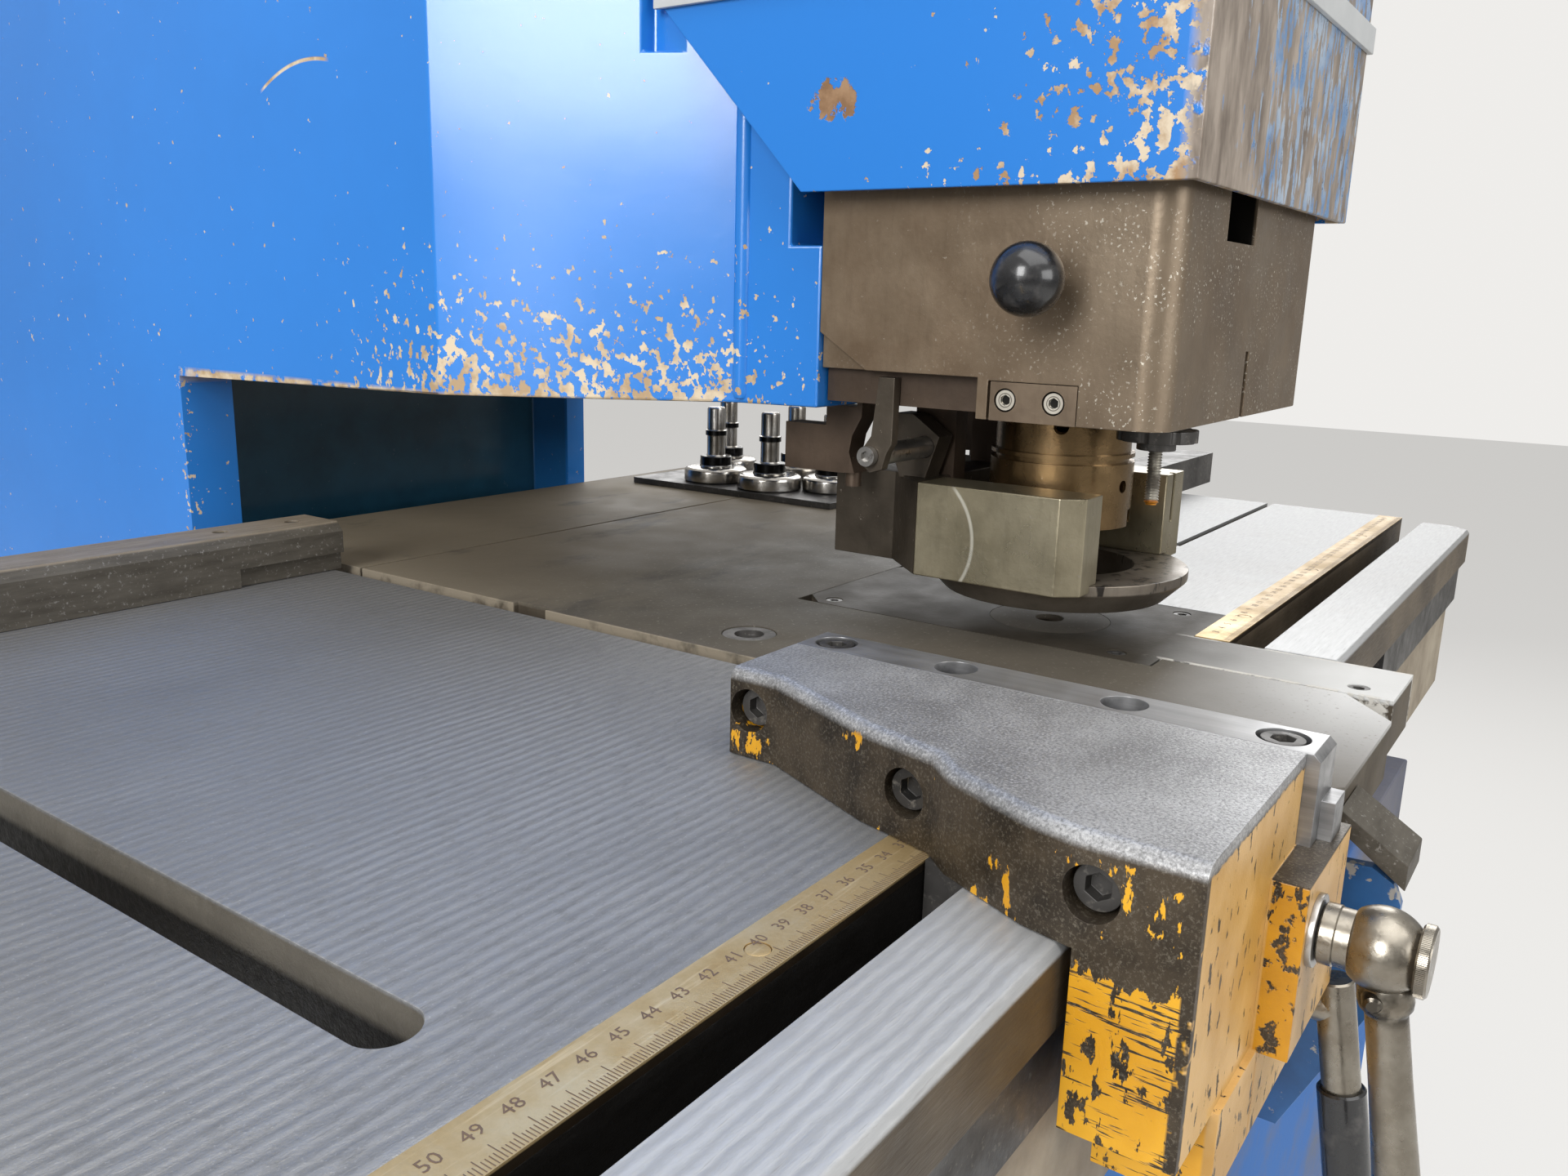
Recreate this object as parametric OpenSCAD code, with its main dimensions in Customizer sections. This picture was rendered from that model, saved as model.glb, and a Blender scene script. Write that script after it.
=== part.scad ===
// Single-station C-frame sheet-metal punching machine with a steel table,
// a front scale rail, a sliding gauge casting and a stripper fork.
// Origin: on the floor under the punch axis. +X is the operator's right,
// +Y runs back into the throat, +Z is up. All lengths are millimetres.

/* [Frame] */
// Height of the table top above the floor
table_h = 900; // [820:5:980]
// Half the width of the frame at the column
frame_half = 171; // [165:1:185]
// Throat face behind the punch axis
throat_y = 492; // [470:1:600]
// Depth of the column from the throat face to the back
column_d = 568; // [540:1:700]
// Height of the frame top above the table
arm_top = 560; // [545:5:700]
// Height of the arm's underside above the table, at the nose
arm_low = 106; // [102:0.5:108]
// Half the width of the arm at the nose
nose_half = 106; // [100:1:108]
// Front face of the nose behind the punch axis
nose_y = 75; // [75:0.5:78]
// Where the arm starts to narrow
taper_back_y = 255; // [240:1:280]
// Where the arm has its nose width
taper_front_y = 119; // [117:1:125]
// Wall of the welded frame
frame_wall = 16; // [12:1:20]
// Front face of the frame under the table's front edge, before the punch axis
bed_front = 128; // [124:1:130]
// Front face of the lower frame, before the punch axis
base_front = 150; // [140:1:200]
// Top of the lower frame's front step below the table top
base_drop = 91; // [86:1:110]

/* [Base plate] */
// Half the width of the floor plate
foot_half = 270; // [240:5:320]
// Thickness of the floor plate
foot_t = 30; // [20:1:40]
// Diameter of the floor anchor holes
anchor_d = 22; // [16:1:26]
// Spacing of the anchor holes across
anchor_dx = 460; // [400:5:470]
// Spacing of the anchor holes front to back
anchor_dy = 1120; // [1040:5:1140]

/* [Table] */
// Thickness of the table plates
plate_t = 24; // [20:1:28]
// Left end of the table
left_end = 750; // [660:5:820]
// Right end of the table
right_end = 482; // [440:2:560]
// Right edge of the left wing, left of the punch axis
wing_edge = 167; // [165:1:175]
// Gap between the left wing and the centre plate
seam_gap = 12; // [6:0.5:14]
// Back edge of the left wing
wing_back = 400; // [392:1:420]
// Width of the brass scale
scale_w = 16.5; // [14:0.5:18]
// Thickness of the brass scale
scale_t = 3; // [2:0.5:4]
// Back edge of the scale, before the punch axis
scale_back = 69; // [68:0.5:70]
// Width of the clamping slot between scale and rail
tslot_w = 16; // [14:0.5:18]
// Width of the front rail
rail_w = 34; // [30:1:36]
// Width of the fence slot in the left wing
slot_w = 17; // [14:0.5:20]
// Middle of the fence slot, left of the punch axis
slot_x = 427.5; // [400:0.5:450]

/* [Die] */
// Bore for the die in the die plate
die_d = 60; // [40:1:64]
// Depth of the die seat
die_depth = 16; // [10:1:20]
// Hole of the die
die_hole = 14; // [4:0.5:30]
// Hole for the slugs below the die
slug_d = 44; // [30:1:48]

/* [Head] */
// Front face of the head housing, before the punch axis
head_front = 83; // [80:1:84]
// Underside of the housing's front part above the table
head_low = 107; // [106.5:0.5:110]
// Underside of the housing's rear part above the table
head_step = 124; // [123:0.5:126]
// Top of the housing above the table
head_top = 330; // [310:1:350]
// Radius of the housing's front corners
head_r = 12; // [6:1:16]
// Half the width of the sheet cover
cover_half = 121; // [120:1:124]
// Front face of the sheet cover, before the punch axis
cover_front = 92; // [90:1:98]
// Lower edge of the sheet cover above the table
cover_low = 198; // [194:1:204]
// Thickness of the cover sheet
cover_t = 3; // [2:0.5:3]

/* [Ram] */
// Diameter of the ram in its guide
ram_d = 65; // [60:1:66]
// Diameter of the clamp ring on the ram's nose
ring_d = 69; // [68:1:72]
// Bore for the punch shank
punch_d = 40; // [28:1:44]
// Depth of the punch bore
punch_depth = 45; // [30:1:60]
// Stroke of the ram
stroke = 25; // [15:1:28]
// Underside of the ram's nose above the table, at rest
ram_low = 52; // [50:0.5:56]
// Space between the hydraulic cylinder and the sheet cover
cyl_gap = 4; // [2:0.5:10]

/* [Stripper] */
// Radius of the stripper disc
disc_r = 64.3; // [60:0.1:65]
// Underside of the stripper disc above the table
disc_low = 16; // [14:0.5:18]
// Top of the stripper disc above the table
disc_top = 31; // [30:0.5:32]
// Outer half width of the jaws
jaw_out = 70; // [69:0.5:73]
// Inner half width of the jaws
jaw_in = 44; // [43:0.5:46]
// Underside of the jaws above the table
jaw_low = 27.8; // [27:0.1:29]
// Top of the jaws above the table
jaw_top = 72; // [70:0.5:73]
// Travel of the stripper down to the sheet
strip_travel = 8; // [4:0.5:10]

/* [Gauge] */
// Height of the gauge casting above the table
gauge_h = 31; // [28:1:34]
// Right face of the gauge strip, left of the punch axis
gauge_face = 193; // [193:1:230]
// Width of the gauge strip
strip_w = 21; // [18:1:24]
// Back end of the gauge strip behind the punch axis
gauge_back = 9; // [0:1:20]
// Diameter of the clamp ball
ball_d = 25; // [22:0.5:28]
// Length of the clamp lever below the ball
lever_l = 105; // [80:1:130]

/* [Fence] */
// Front face of the fence bar behind the punch axis
fence_y = 351; // [345:1:355]
// Depth of the fence bar
fence_d = 35; // [30:1:36]
// Height of the fence bar
fence_h = 27; // [24:0.5:40]

/* [Hidden] */
$fn = 48;
run_fit = 0.05;
clear = 0.3;
cut = 1;
column_back = throat_y + column_d;
cover_in = cover_half - cover_t - clear;
cover_back = 160;
cover_slope_y = 77;
cover_slope_top = table_h + cover_low + (cover_back - cover_slope_y) * 1.04;
trim_z = 278;
trim_t = 2.5;
bed_top = table_h - 60;
taper = (frame_half - nose_half) / (taper_back_y - taper_front_y);
tslot_back = scale_back + scale_w;
tslot_front = tslot_back + tslot_w;
rail_front = tslot_front + rail_w;
centre_edge = wing_edge - seam_gap;
centre_back = 347;
centre_front = rail_front + 34;
back_right = 380;
die_left = 51;
die_right = 66;
die_back = 120;
bar_left = 36;
bar_right = 12;
bar_front = rail_front + 30;
right_back = 89;
arm_rise = 6.4;
nose_step_z = 177;
nose_step = 17;
column_front_l = 33;
column_front_r = 19;
recess_d = 40;
beam_top = 33;
beam_low = 57;
beam_front = bed_front + 2;
beam_back = scale_back - 19;
rail_land = 14;
wing_land = 20;
beam_clear = 4;
knob_y = -35;
knob_z = 163;
knob_d = 28;
stem_d = 8;
screw_x = -30;
screw_y = -56;
screw_d = 8;
screw_low = 68;
nut_top = 102;
nut_t = 5.5;
nut_d = 35;
knob_depth = 28;
plate_y0 = -48;
plate_y1 = -10;
step_y = -4;
plate_top = 123;
plate_screws = [-17, -38];
plate_screw_z = 115.5;
post_x = 31;
post_y = 51;
post_w = 12;
post_l = 22;
rod_d = ram_d - 10;
ring_bore = ram_d - 10;
cyl_d = 2 * (cover_front - cover_t - cyl_gap);
cyl_wall = 25;
block_half = nose_half - 7.4;
block_low = 109.2;
body_half = 45;
body_back = 102;
jaw_front = 39;
jaw_back = 41.4;
arm_in = 41;
arm_out = 55;
latch_y = 47;
latch_z = 86.7;
latch_in = block_half + 0.5;
latch_out = latch_in + 5.4;
latch_pin_d = 10;
latch_neck_d = 6;
clamp_x = -228;
clamp_z = -14.5;
flange_front = rail_front + 43;
clamp_reach = 18;
block_low_z = -78;
casting_front = rail_front + 33;
lever2_x = -gauge_face + 13;
lever2_z = -62;
lever2_y = -casting_front - 12;
lock_d = 12;
strip_screws = [-2, -159.5];
strip_mid = strip_w / 2;
gauge_side_screws = [[-gauge_face - 60, 1, 17], [-gauge_face - 86, -74, 15],
    [-gauge_face - 113, -141.6, 15.7]];
bracket_x = -150;
holders = [[230, 398, 52], [225.5, 339.5, 52], [250, 296, 46], [288, 430, 50], [292, 360, 50]];
tray_t = 5;
tank_top = 330;
door_x = frame_half - 43;
door_z0 = 90;
door_z1 = 780;
door_t = 4;
hinge_d = 10;
box_y = 660;
box_z = table_h + 160;
box_w = 150;
box_h = 230;
box_d = 70;
button_d = 22;

// A box between two opposite corners
module block(lo, hi) {
    translate(lo) cube(hi - lo);
}

// A profile in the YZ plane, drawn out along X from x0 to x1
module prism_x(x0, x1, points) {
    translate([x0, 0, 0])
        rotate([90, 0, 90])
            linear_extrude(x1 - x0) polygon(points);
}

// A profile in the XY plane, drawn up from z0 to z1
module prism_z(z0, z1, points) {
    translate([0, 0, z0]) linear_extrude(z1 - z0) polygon(points);
}

// A cylinder whose axis runs along X, Y or Z from a start point
module rod_x(p, d, l) {
    translate(p) rotate([0, 90, 0]) cylinder(d = d, h = l);
}

module rod_y(p, d, l) {
    translate(p) rotate([-90, 0, 0]) cylinder(d = d, h = l);
}

module rod_z(p, d, l) {
    translate(p) cylinder(d = d, h = l);
}

// Lifts its children to the level of the table top
module at_table() {
    translate([0, 0, table_h]) children();
}

// Head of a socket screw with its hexagon, the flat underside at z = 0
module socket_head(d, h) {
    difference() {
        cylinder(d = d, h = h);
        translate([0, 0, h * 0.45]) cylinder(d = d * 0.58, h = h, $fn = 6);
    }
}

// Space round a flush screw head and in its hexagon, open towards +Z
module screw_seat() {
    translate([0, 0, -3]) {
        difference() {
            cylinder(d = 9.6, h = 3 + cut);
            translate([0, 0, -cut]) cylinder(d = 8.4, h = 2.6 + cut);
        }
        translate([0, 0, 1]) cylinder(d = 4.6, h = 2 + cut, $fn = 6);
    }
}

// Half width of the arm at a depth y
function arm_half(y) = y >= taper_back_y ? frame_half
    : y <= taper_front_y ? nose_half
    : nose_half + (y - taper_front_y) * taper;

// Outline of the frame seen from above, kept a wall inside it
module frame_plan(inset, y0, y1, z0, z1) {
    h = frame_half - inset;
    n = nose_half - inset;
    prism_z(z0, z1, [[-h, y1], [-h, taper_back_y], [-n, taper_front_y], [-n, y0],
        [n, y0], [n, taper_front_y], [h, taper_back_y], [h, y1]]);
}

// Side outline of the upper arm, with its stepped nose and rising underside
function arm_side(wall) = [
    [nose_y + wall, table_h + arm_low + wall],
    [throat_y + wall, table_h + arm_low - arm_rise + wall],
    [column_back - wall, table_h + arm_low - arm_rise + wall],
    [column_back - wall, table_h + arm_top - wall],
    [nose_y + nose_step + wall, table_h + arm_top - wall],
    [nose_y + nose_step + wall, table_h + nose_step_z - wall],
    [nose_y + wall, table_h + nose_step_z - wall]];

// Frame
module floor_plate() {
    mid_y = (column_back - base_front) / 2;
    color("#2c3138") difference() {
        block([-foot_half, mid_y - anchor_dy / 2 - 40, 0],
            [foot_half, mid_y + anchor_dy / 2 + 40, foot_t]);
        for (sx = [-1, 1], sy = [-1, 1])
            rod_z([sx * anchor_dx / 2, mid_y + sy * anchor_dy / 2, -cut], anchor_d, foot_t + 2 * cut);
    }
}

module c_frame() {
    wall = frame_wall;
    h = frame_half;
    sill = table_h + arm_low - arm_rise;
    color("#1c63b7") difference() {
        union() {
            intersection() {
                frame_plan(0, nose_y, column_back, table_h, table_h + arm_top);
                prism_x(-h, h, arm_side(0));
            }
            block([-h, throat_y, foot_t], [h, column_back, sill + wall]);
            block([-h, -bed_front, foot_t], [h, throat_y + wall, bed_top]);
            block([-h, -base_front, foot_t], [h, 0, table_h - base_drop]);
        }
        // Hollow of the arm, open to the column behind
        intersection() {
            frame_plan(wall, nose_y, column_back - wall, table_h, table_h + arm_top);
            prism_x(-h, h, arm_side(wall));
        }
        // Hollow of the column, from the floor plate up into the arm
        block([-h + wall, throat_y + recess_d + wall, foot_t + wall],
            [h - wall, column_back - wall, sill + 2 * wall]);
        // Hollow of the lower frame under the table
        block([-h + wall, wall - bed_front, foot_t + wall],
            [h - wall, throat_y, bed_top - wall]);
        block([-h + wall, wall - base_front, foot_t + wall],
            [h - wall, 0, table_h - base_drop - wall]);
        // Recess in the throat face between the two front strips
        block([-h + column_front_l, throat_y - cut, bed_top + 1],
            [h - column_front_r, throat_y + recess_d, sill]);
        // Door opening in the back
        block([-door_x + 12, column_back - wall - cut, door_z0 + 12],
            [door_x - 12, column_back + cut, door_z1 - 12]);
        // Hole through which the slugs fall
        rod_z([0, 0, bed_top - wall - cut], slug_d, wall + 2 * cut);
        // Joggle that takes the rear edges of the sheet cover
        for (s = [-1, 1])
            block([s > 0 ? cover_in : -h - cut, cover_back - 24, cover_slope_top - 24],
                [s > 0 ? h + cut : -cover_in, cover_back + 2, table_h + arm_top + cut]);
    }
}

module die_bolster() {
    color("#3b3f44") difference() {
        block([-120, -110, bed_top], [118, 205, table_h - plate_t]);
        rod_z([0, 0, bed_top - cut], slug_d, table_h - bed_top + cut);
    }
}

module table_packers() {
    top = table_h - plate_t;
    color("#3b3f44") {
        for (y = [290, 430])
            block([-centre_edge + 4, y, bed_top], [frame_half - 6, y + 34, top]);
        // Two rails beside the frame that carry the right part of the table
        block([frame_half, 100, top - 60], [frame_half + 20, throat_y - 20, top]);
        block([frame_half + 20, 180, top - 40], [back_right - 4, 196, top]);
        block([frame_half + 20, 400, top - 40], [back_right - 4, 416, top]);
    }
}

// Table

module left_wing() {
    slot_front = -41 + slot_w / 2;
    slot_back = fence_y + fence_d / 2 + slot_w;
    at_table() color("#6c7480") difference() {
        block([-left_end, -tslot_back, -plate_t], [-wing_edge, wing_back, 0]);
        // Ledge that holds the brass scale
        block([-left_end - cut, -tslot_back - cut, -scale_t], [-wing_edge + cut, -scale_back, cut]);
        // Fence slot with round ends
        block([-slot_x - slot_w / 2, slot_front, -plate_t - cut], [-slot_x + slot_w / 2, slot_back, cut]);
        for (y = [slot_front, slot_back])
            rod_z([-slot_x, y, -plate_t - cut], slot_w, plate_t + 2 * cut);
    }
}

module centre_plate() {
    notch_y = 201;
    at_table() color("#5b5b59") difference() {
        prism_z(-plate_t, 0, [
            [-centre_edge, -centre_front + 6], [-centre_edge + 6, -centre_front],
            [-64, -centre_front], [-bar_left - 1, -centre_front + 22],
            [-bar_left - 1, -scale_back - 1], [-die_left, -scale_back - 1],
            [-die_left, die_back], [die_right, die_back], [die_right, right_back + 0.5],
            [back_right, right_back + 0.5], [back_right, centre_back],
            [-centre_edge, centre_back]]);
        // Notch in the left edge and the hole for the flush table screw
        block([-centre_edge - cut, notch_y, -plate_t - cut], [-centre_edge + 4, notch_y + 23, cut]);
        rod_z([-123, 98, -8], 26, 8 + cut);
        rod_z([-123, 98, -plate_t - cut], 13, plate_t + 2 * cut);
    }
}

module back_plate() {
    at_table() color("#5b5b59")
        block([-centre_edge, centre_back + 2, -plate_t], [back_right, throat_y - clear, 0]);
}

module right_wing() {
    at_table() color("#9aa3ad") difference() {
        union() {
            block([die_right + 0.5, -scale_back - cut, -plate_t], [right_end, right_back, 0]);
            block([bar_right + 2, -tslot_back, -plate_t], [right_end, -scale_back - 0.5, 0]);
        }
        block([bar_right, -tslot_back - cut, -scale_t], [right_end + cut, -scale_back, cut]);
        // Narrow slot that runs out at the right end
        block([240, 11, -plate_t - cut], [right_end + cut, 16, cut]);
    }
}

module die_plate() {
    at_table() color("#4e4d4b") difference() {
        union() {
            prism_z(-plate_t, 0, [[-die_left + clear, -scale_back], [die_right - clear, -scale_back],
                [die_right - clear, die_back - 13], [die_right - 13, die_back - clear],
                [13 - die_left, die_back - clear], [-die_left + clear, die_back - 13]]);
            // Strip that runs forward over the rails
            block([-bar_left, -bar_front, -plate_t], [bar_right, -scale_back + cut, 0]);
        }
        rod_z([0, 0, -die_depth], die_d, die_depth + cut);
        rod_z([0, 0, -plate_t - cut], slug_d, plate_t + 2 * cut);
        for (p = [[-40, 104], [54, 104], [-40, -50], [54, -50], [-24, -150]]) {
            rod_z([p[0], p[1], -5], 9, 5 + cut);
        }
    }
}

module die_insert() {
    at_table() color("#55534f") difference() {
        rod_z([0, 0, -die_depth + 0.2], die_d - 0.1, die_depth - 0.2);
        rod_z([0, 0, -4], die_hole, 5);
        rod_z([0, 0, -die_depth - cut], die_hole + 4, die_depth - 4 + 2 * cut);
    }
}

// Front rail with a chamfered top front edge
module rail(x0, x1) {
    y0 = -rail_front;
    y1 = -tslot_front;
    prism_x(x0, x1, [[y0, -plate_t], [y1, -plate_t], [y1, 0], [y0 + 2, 0], [y0, -2]]);
}

module left_rail() {
    at_table() color("#6c7480") rail(-left_end, -wing_edge);
}

module right_rail() {
    chamfer = 20;
    at_table() color("#9aa3ad") difference() {
        rail(bar_right + 2, right_end - 13);
        translate([right_end - 13, -rail_front, -plate_t - cut])
            rotate([0, 0, 45])
                cube([chamfer, chamfer, 3 * plate_t], center = true);
    }
}

module scale(x0, x1) {
    block([x0, -tslot_back, -scale_t], [x1, -scale_back, 0]);
}

module left_scale() {
    at_table() color("#b8924a") difference() {
        scale(-left_end, -wing_edge);
        for (x = [-left_end + 97 : 150 : -wing_edge - 20])
            rod_z([x, -tslot_back + scale_w / 2, -1.5], 7, 2 + cut);
    }
}

module right_scale() {
    at_table() color("#c9a24f") difference() {
        scale(bar_right + 2, right_end);
        for (x = [70 : 150 : right_end - 20])
            rod_z([x, -tslot_back + scale_w / 2, -1.5], 7, 2 + cut);
    }
}

// Beam under the front edge: it forms the floor of the clamping slot
module front_beam(x0, x1) {
    block([x0, -beam_front, -beam_low], [x1, -beam_back, -beam_top]);
    block([x0, -beam_front, -beam_top - cut], [x1, -beam_front + rail_land, -plate_t]);
    block([x0, -beam_back - wing_land, -beam_top - cut], [x1, -beam_back, -plate_t]);
}

module left_beam() {
    at_table() color("#40454c") front_beam(-left_end + 6, -frame_half - beam_clear);
}

module right_beam() {
    at_table() color("#6b625a") front_beam(frame_half + beam_clear, right_end - 6);
}

// Triangular arm that carries a wing from the side of the frame
module wing_arm(x_in, x_out, y) {
    side = x_out > 0 ? 1 : -1;
    translate([0, y + 12, 0])
        rotate([90, 0, 0])
            linear_extrude(12)
                polygon([[x_in, -plate_t], [x_out, -plate_t], [x_out, -plate_t - 40],
                    [x_in + side * 60, -plate_t - 260], [x_in, -plate_t - 260]]);
    translate([0, y - 14, 0])
        rotate([90, 0, 0])
            mirror([0, 0, 1])
                linear_extrude(40)
                    polygon([[x_in, -plate_t], [x_out, -plate_t], [x_out, -plate_t - 8],
                        [x_in, -plate_t - 8]]);
}

module left_brackets() {
    at_table() color("#1c63b7") difference() {
        union() {
            for (y = [30, 250])
                wing_arm(-frame_half, -left_end + 20, y);
            // Front apron that takes the beam
            block([-left_end + 40, -beam_front + 2, -beam_low - 60], [-frame_half, -beam_back - 10, -beam_low]);
        }
        // Space for the fence clamp under the slot
        block([-slot_x - 32, -60, -plate_t - 60], [-slot_x + 32, wing_back, -plate_t + cut]);
    }
}

module right_brackets() {
    at_table() color("#1c63b7") {
        wing_arm(frame_half, right_end - 20, 30);
        block([frame_half, -beam_front + 2, -beam_low - 60], [right_end - 30, -beam_back - 10, -beam_low]);
    }
}

module table_screws() {
    at_table() color("#4a4a48") {
        translate([-123, 98, -8]) difference() {
            cylinder(d = 25.4, h = 7.6);
            translate([0, 0, 5]) cylinder(d = 14, h = 4);
        }
        for (p = [[-40, 104], [54, 104], [-40, -50], [54, -50], [-24, -150]])
            translate([p[0], p[1], -5]) socket_head(8.6, 4.6);
    }
}

// Head
module head_housing() {
    rear = nose_y - clear;
    at_table() color("#54483a") difference() {
        union() {
            // Body with round vertical front corners
            hull() {
                for (s = [-1, 1])
                    rod_z([s * (nose_half - head_r), head_r - head_front, head_low], 2 * head_r,
                        head_top - head_low);
                block([-nose_half, 0, head_low], [nose_half, rear, head_top]);
            }
            block([-nose_half + 10, rear - cut, cover_low + 8],
                [nose_half - 10, nose_y + nose_step, head_top]);
        }
        // Rear part of the underside is stepped up
        block([-nose_half - cut, step_y, head_low - cut], [nose_half + cut, rear + cut, head_step]);
        // Guide bore of the ram
        rod_z([0, 0, head_low - cut], ram_d + 2 * run_fit, head_top - head_low + 2 * cut);
        // Bore for the stem of the ball knob
        rod_x([-nose_half - cut, knob_y, knob_z], stem_d + 2 * run_fit, knob_depth + cut);
        // Seat of the side plate
        block([-nose_half - cut, plate_y0, head_low - cut], [-nose_half + 5, plate_y1 + cut, plate_top]);
        // Notch and clamping slit in the front face
        block([-48, -head_front - cut, 181], [-8, -head_front + 14, cover_low + 30]);
        block([-2.5, -head_front - cut, head_low - cut], [2.5, -head_front + 26, 136]);
        // Facet on the lower rear corner of each side
        for (s = [-1, 1])
            prism_x(s * nose_half - 3, s * nose_half + 3,
                [[rear - 26, head_step - 1], [rear + 2, head_step - 1], [rear + 2, head_step + 17]]);
        // Threaded hole for the stop screw
        rod_z([screw_x, screw_y, head_low - cut], screw_d, 24);
    }
}

module guide_block() {
    top = head_step;
    back = nose_y - 0.8;
    ear_top = arm_low - 1.2;
    at_table() color("#3a2b22") difference() {
        union() {
            block([-block_half, step_y + 0.5, block_low], [block_half, back, top]);
            // Ears with a hooked outline and a foot peg behind the stripper
            for (s = [-1, 1]) {
                translate([s * 66.5, 0, 0])
                    prism_x(-6.5, 6.5, [[back - 3, block_low + 1], [71.4, 100], [76.3, 91], [77.8, 83],
                        [74.4, 73], [83.8, 72.6], [115, 72.6], [115, 95], [91.3, 95],
                        [91.3, ear_top], [back, ear_top], [back, block_low + 1]]);
                rod_z([s * 66, 79, 66], 8, 9);
            }
            // Posts on which the stripper slides
            for (s = [-1, 1])
                block([s * post_x - post_w / 2, post_y - post_l / 2, jaw_low + 4 + strip_travel],
                    [s * post_x + post_w / 2, post_y + post_l / 2, block_low + 1]);
        }
        rod_z([0, 0, block_low - cut], ram_d + 3, top - block_low + 2 * cut);
    }
}

module head_cover() {
    h = cover_half;
    t = cover_t;
    top = arm_top;
    side = [[-cover_front, cover_low], [cover_slope_y, cover_low],
        [cover_back, cover_slope_top - table_h], [cover_back, top], [-cover_front, top]];
    at_table() color("#1d6fd0") {
        for (s = [-1, 1])
            prism_x(min(s * h, s * (h - t)), max(s * h, s * (h - t)), side);
        block([-h + t, -cover_front, cover_low], [h - t, t - cover_front, top]);
        block([-h + t, t - cover_front, top - t], [h - t, nose_y + nose_step, top]);
        // Spacers that bolt the sheet to the nose of the arm
        for (s = [-1, 1], z = [300, 480])
            block([s > 0 ? nose_half : -h + t, nose_y + nose_step + 4, z],
                [s > 0 ? h - t : -nose_half, nose_y + nose_step + 20, z + 24]);
    }
}

module cover_trim() {
    h = cover_half;
    t = trim_t;
    z0 = trim_z;
    z1 = trim_z + 12;
    at_table() color("#b9c0c6") {
        for (s = [-1, 1])
            block([s > 0 ? h : -h - t, -cover_front - t, z0], [s > 0 ? h + t : -h, cover_back - 2, z1]);
        block([-h, -cover_front - t, z0], [h, -cover_front, z1]);
    }
}

module side_plate() {
    at_table() color("#4c4237") difference() {
        block([-nose_half, plate_y0 + 0.2, head_low], [-nose_half + 5, plate_y1 - 0.2, plate_top - 0.2]);
        for (y = plate_screws)
            translate([-nose_half, y, plate_screw_z]) rotate([0, -90, 0]) screw_seat();
    }
}

module hydraulic_cylinder() {
    z0 = head_top;
    at_table() color("#20262d") difference() {
        rod_z([0, 0, z0], cyl_d, 200);
        rod_z([0, 0, z0 + 20], cyl_d - 2 * cyl_wall, 160);
        rod_z([0, 0, z0 - cut], rod_d + 2 * run_fit, 30);
    }
}

module ram() {
    shoulder = ram_low + 34;
    neck_top = head_top - 30;
    piston = head_top + 75 + stroke;
    at_table() color("#7a5a36") difference() {
        union() {
            rod_z([0, 0, shoulder], ram_d, neck_top - shoulder);
            rod_z([0, 0, ram_low], ring_bore, shoulder - ram_low + cut);
            // Piston rod and piston inside the cylinder
            rod_z([0, 0, neck_top - cut], rod_d, piston - neck_top + 2 * cut);
            rod_z([0, 0, piston], cyl_d - 2 * cyl_wall - 2 * run_fit, 30);
        }
        rod_z([0, 0, ram_low - cut], punch_d, punch_depth + cut);
        // Hole for the punch screw
        rotate([0, 0, 200]) rod_x([10, 0, ram_low + 47], 7, 40);
    }
}

module punch_ring() {
    z0 = ram_low - 1;
    h = 35;
    at_table() color("#8c6b3d") difference() {
        rod_z([0, 0, z0], ring_d, h);
        rod_z([0, 0, z0 - cut], ring_bore + 0.2, h + 2 * cut);
        // Groove under the upper rim
        difference() {
            rod_z([0, 0, z0 + h - 4.5], ring_d + 4, 2.5);
            rod_z([0, 0, z0 + h - 5.5], ring_d - 5, 4.5);
        }
        // Notch and screw hole at the front right
        rotate([0, 0, -75]) block([ring_d / 2 - 4, -7, z0 - cut], [ring_d, 7, z0 + 8]);
        rotate([0, 0, -100]) rod_x([ring_d / 2 - 6, 0, z0 + 20], 6, 10);
    }
}

module knob_stem() {
    at_table() color("#77736c")
        rod_x([-nose_half - 14, knob_y, knob_z], stem_d, 13 + knob_depth);
}

module ball_knob() {
    r = knob_d / 2;
    at_table() color("#101113") difference() {
        translate([-nose_half - 12 - r, knob_y, knob_z]) sphere(r = r);
        rod_x([-nose_half - 14, knob_y, knob_z], stem_d + 0.02, r);
    }
}

module threaded_rod() {
    at_table() color("#6a655c")
        rod_z([screw_x, screw_y, screw_low], screw_d, head_low - screw_low + 20);
}

module hand_nut() {
    at_table() color("#2e2a26") difference() {
        union() {
            rod_z([screw_x, screw_y, nut_top - nut_t], nut_d, nut_t);
            rod_z([screw_x, screw_y, nut_top - nut_t - 4], 17, 5);
        }
        rod_z([screw_x, screw_y, nut_top - 20], screw_d + 2 * run_fit, 30);
        // Finger flutes round the rim
        for (a = [0 : 45 : 315])
            translate([screw_x, screw_y, nut_top - nut_t - cut])
                rotate([0, 0, a])
                    translate([nut_d / 2 + 2, 0, 0]) cylinder(d = 6, h = nut_t + 2 * cut);
    }
}

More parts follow.
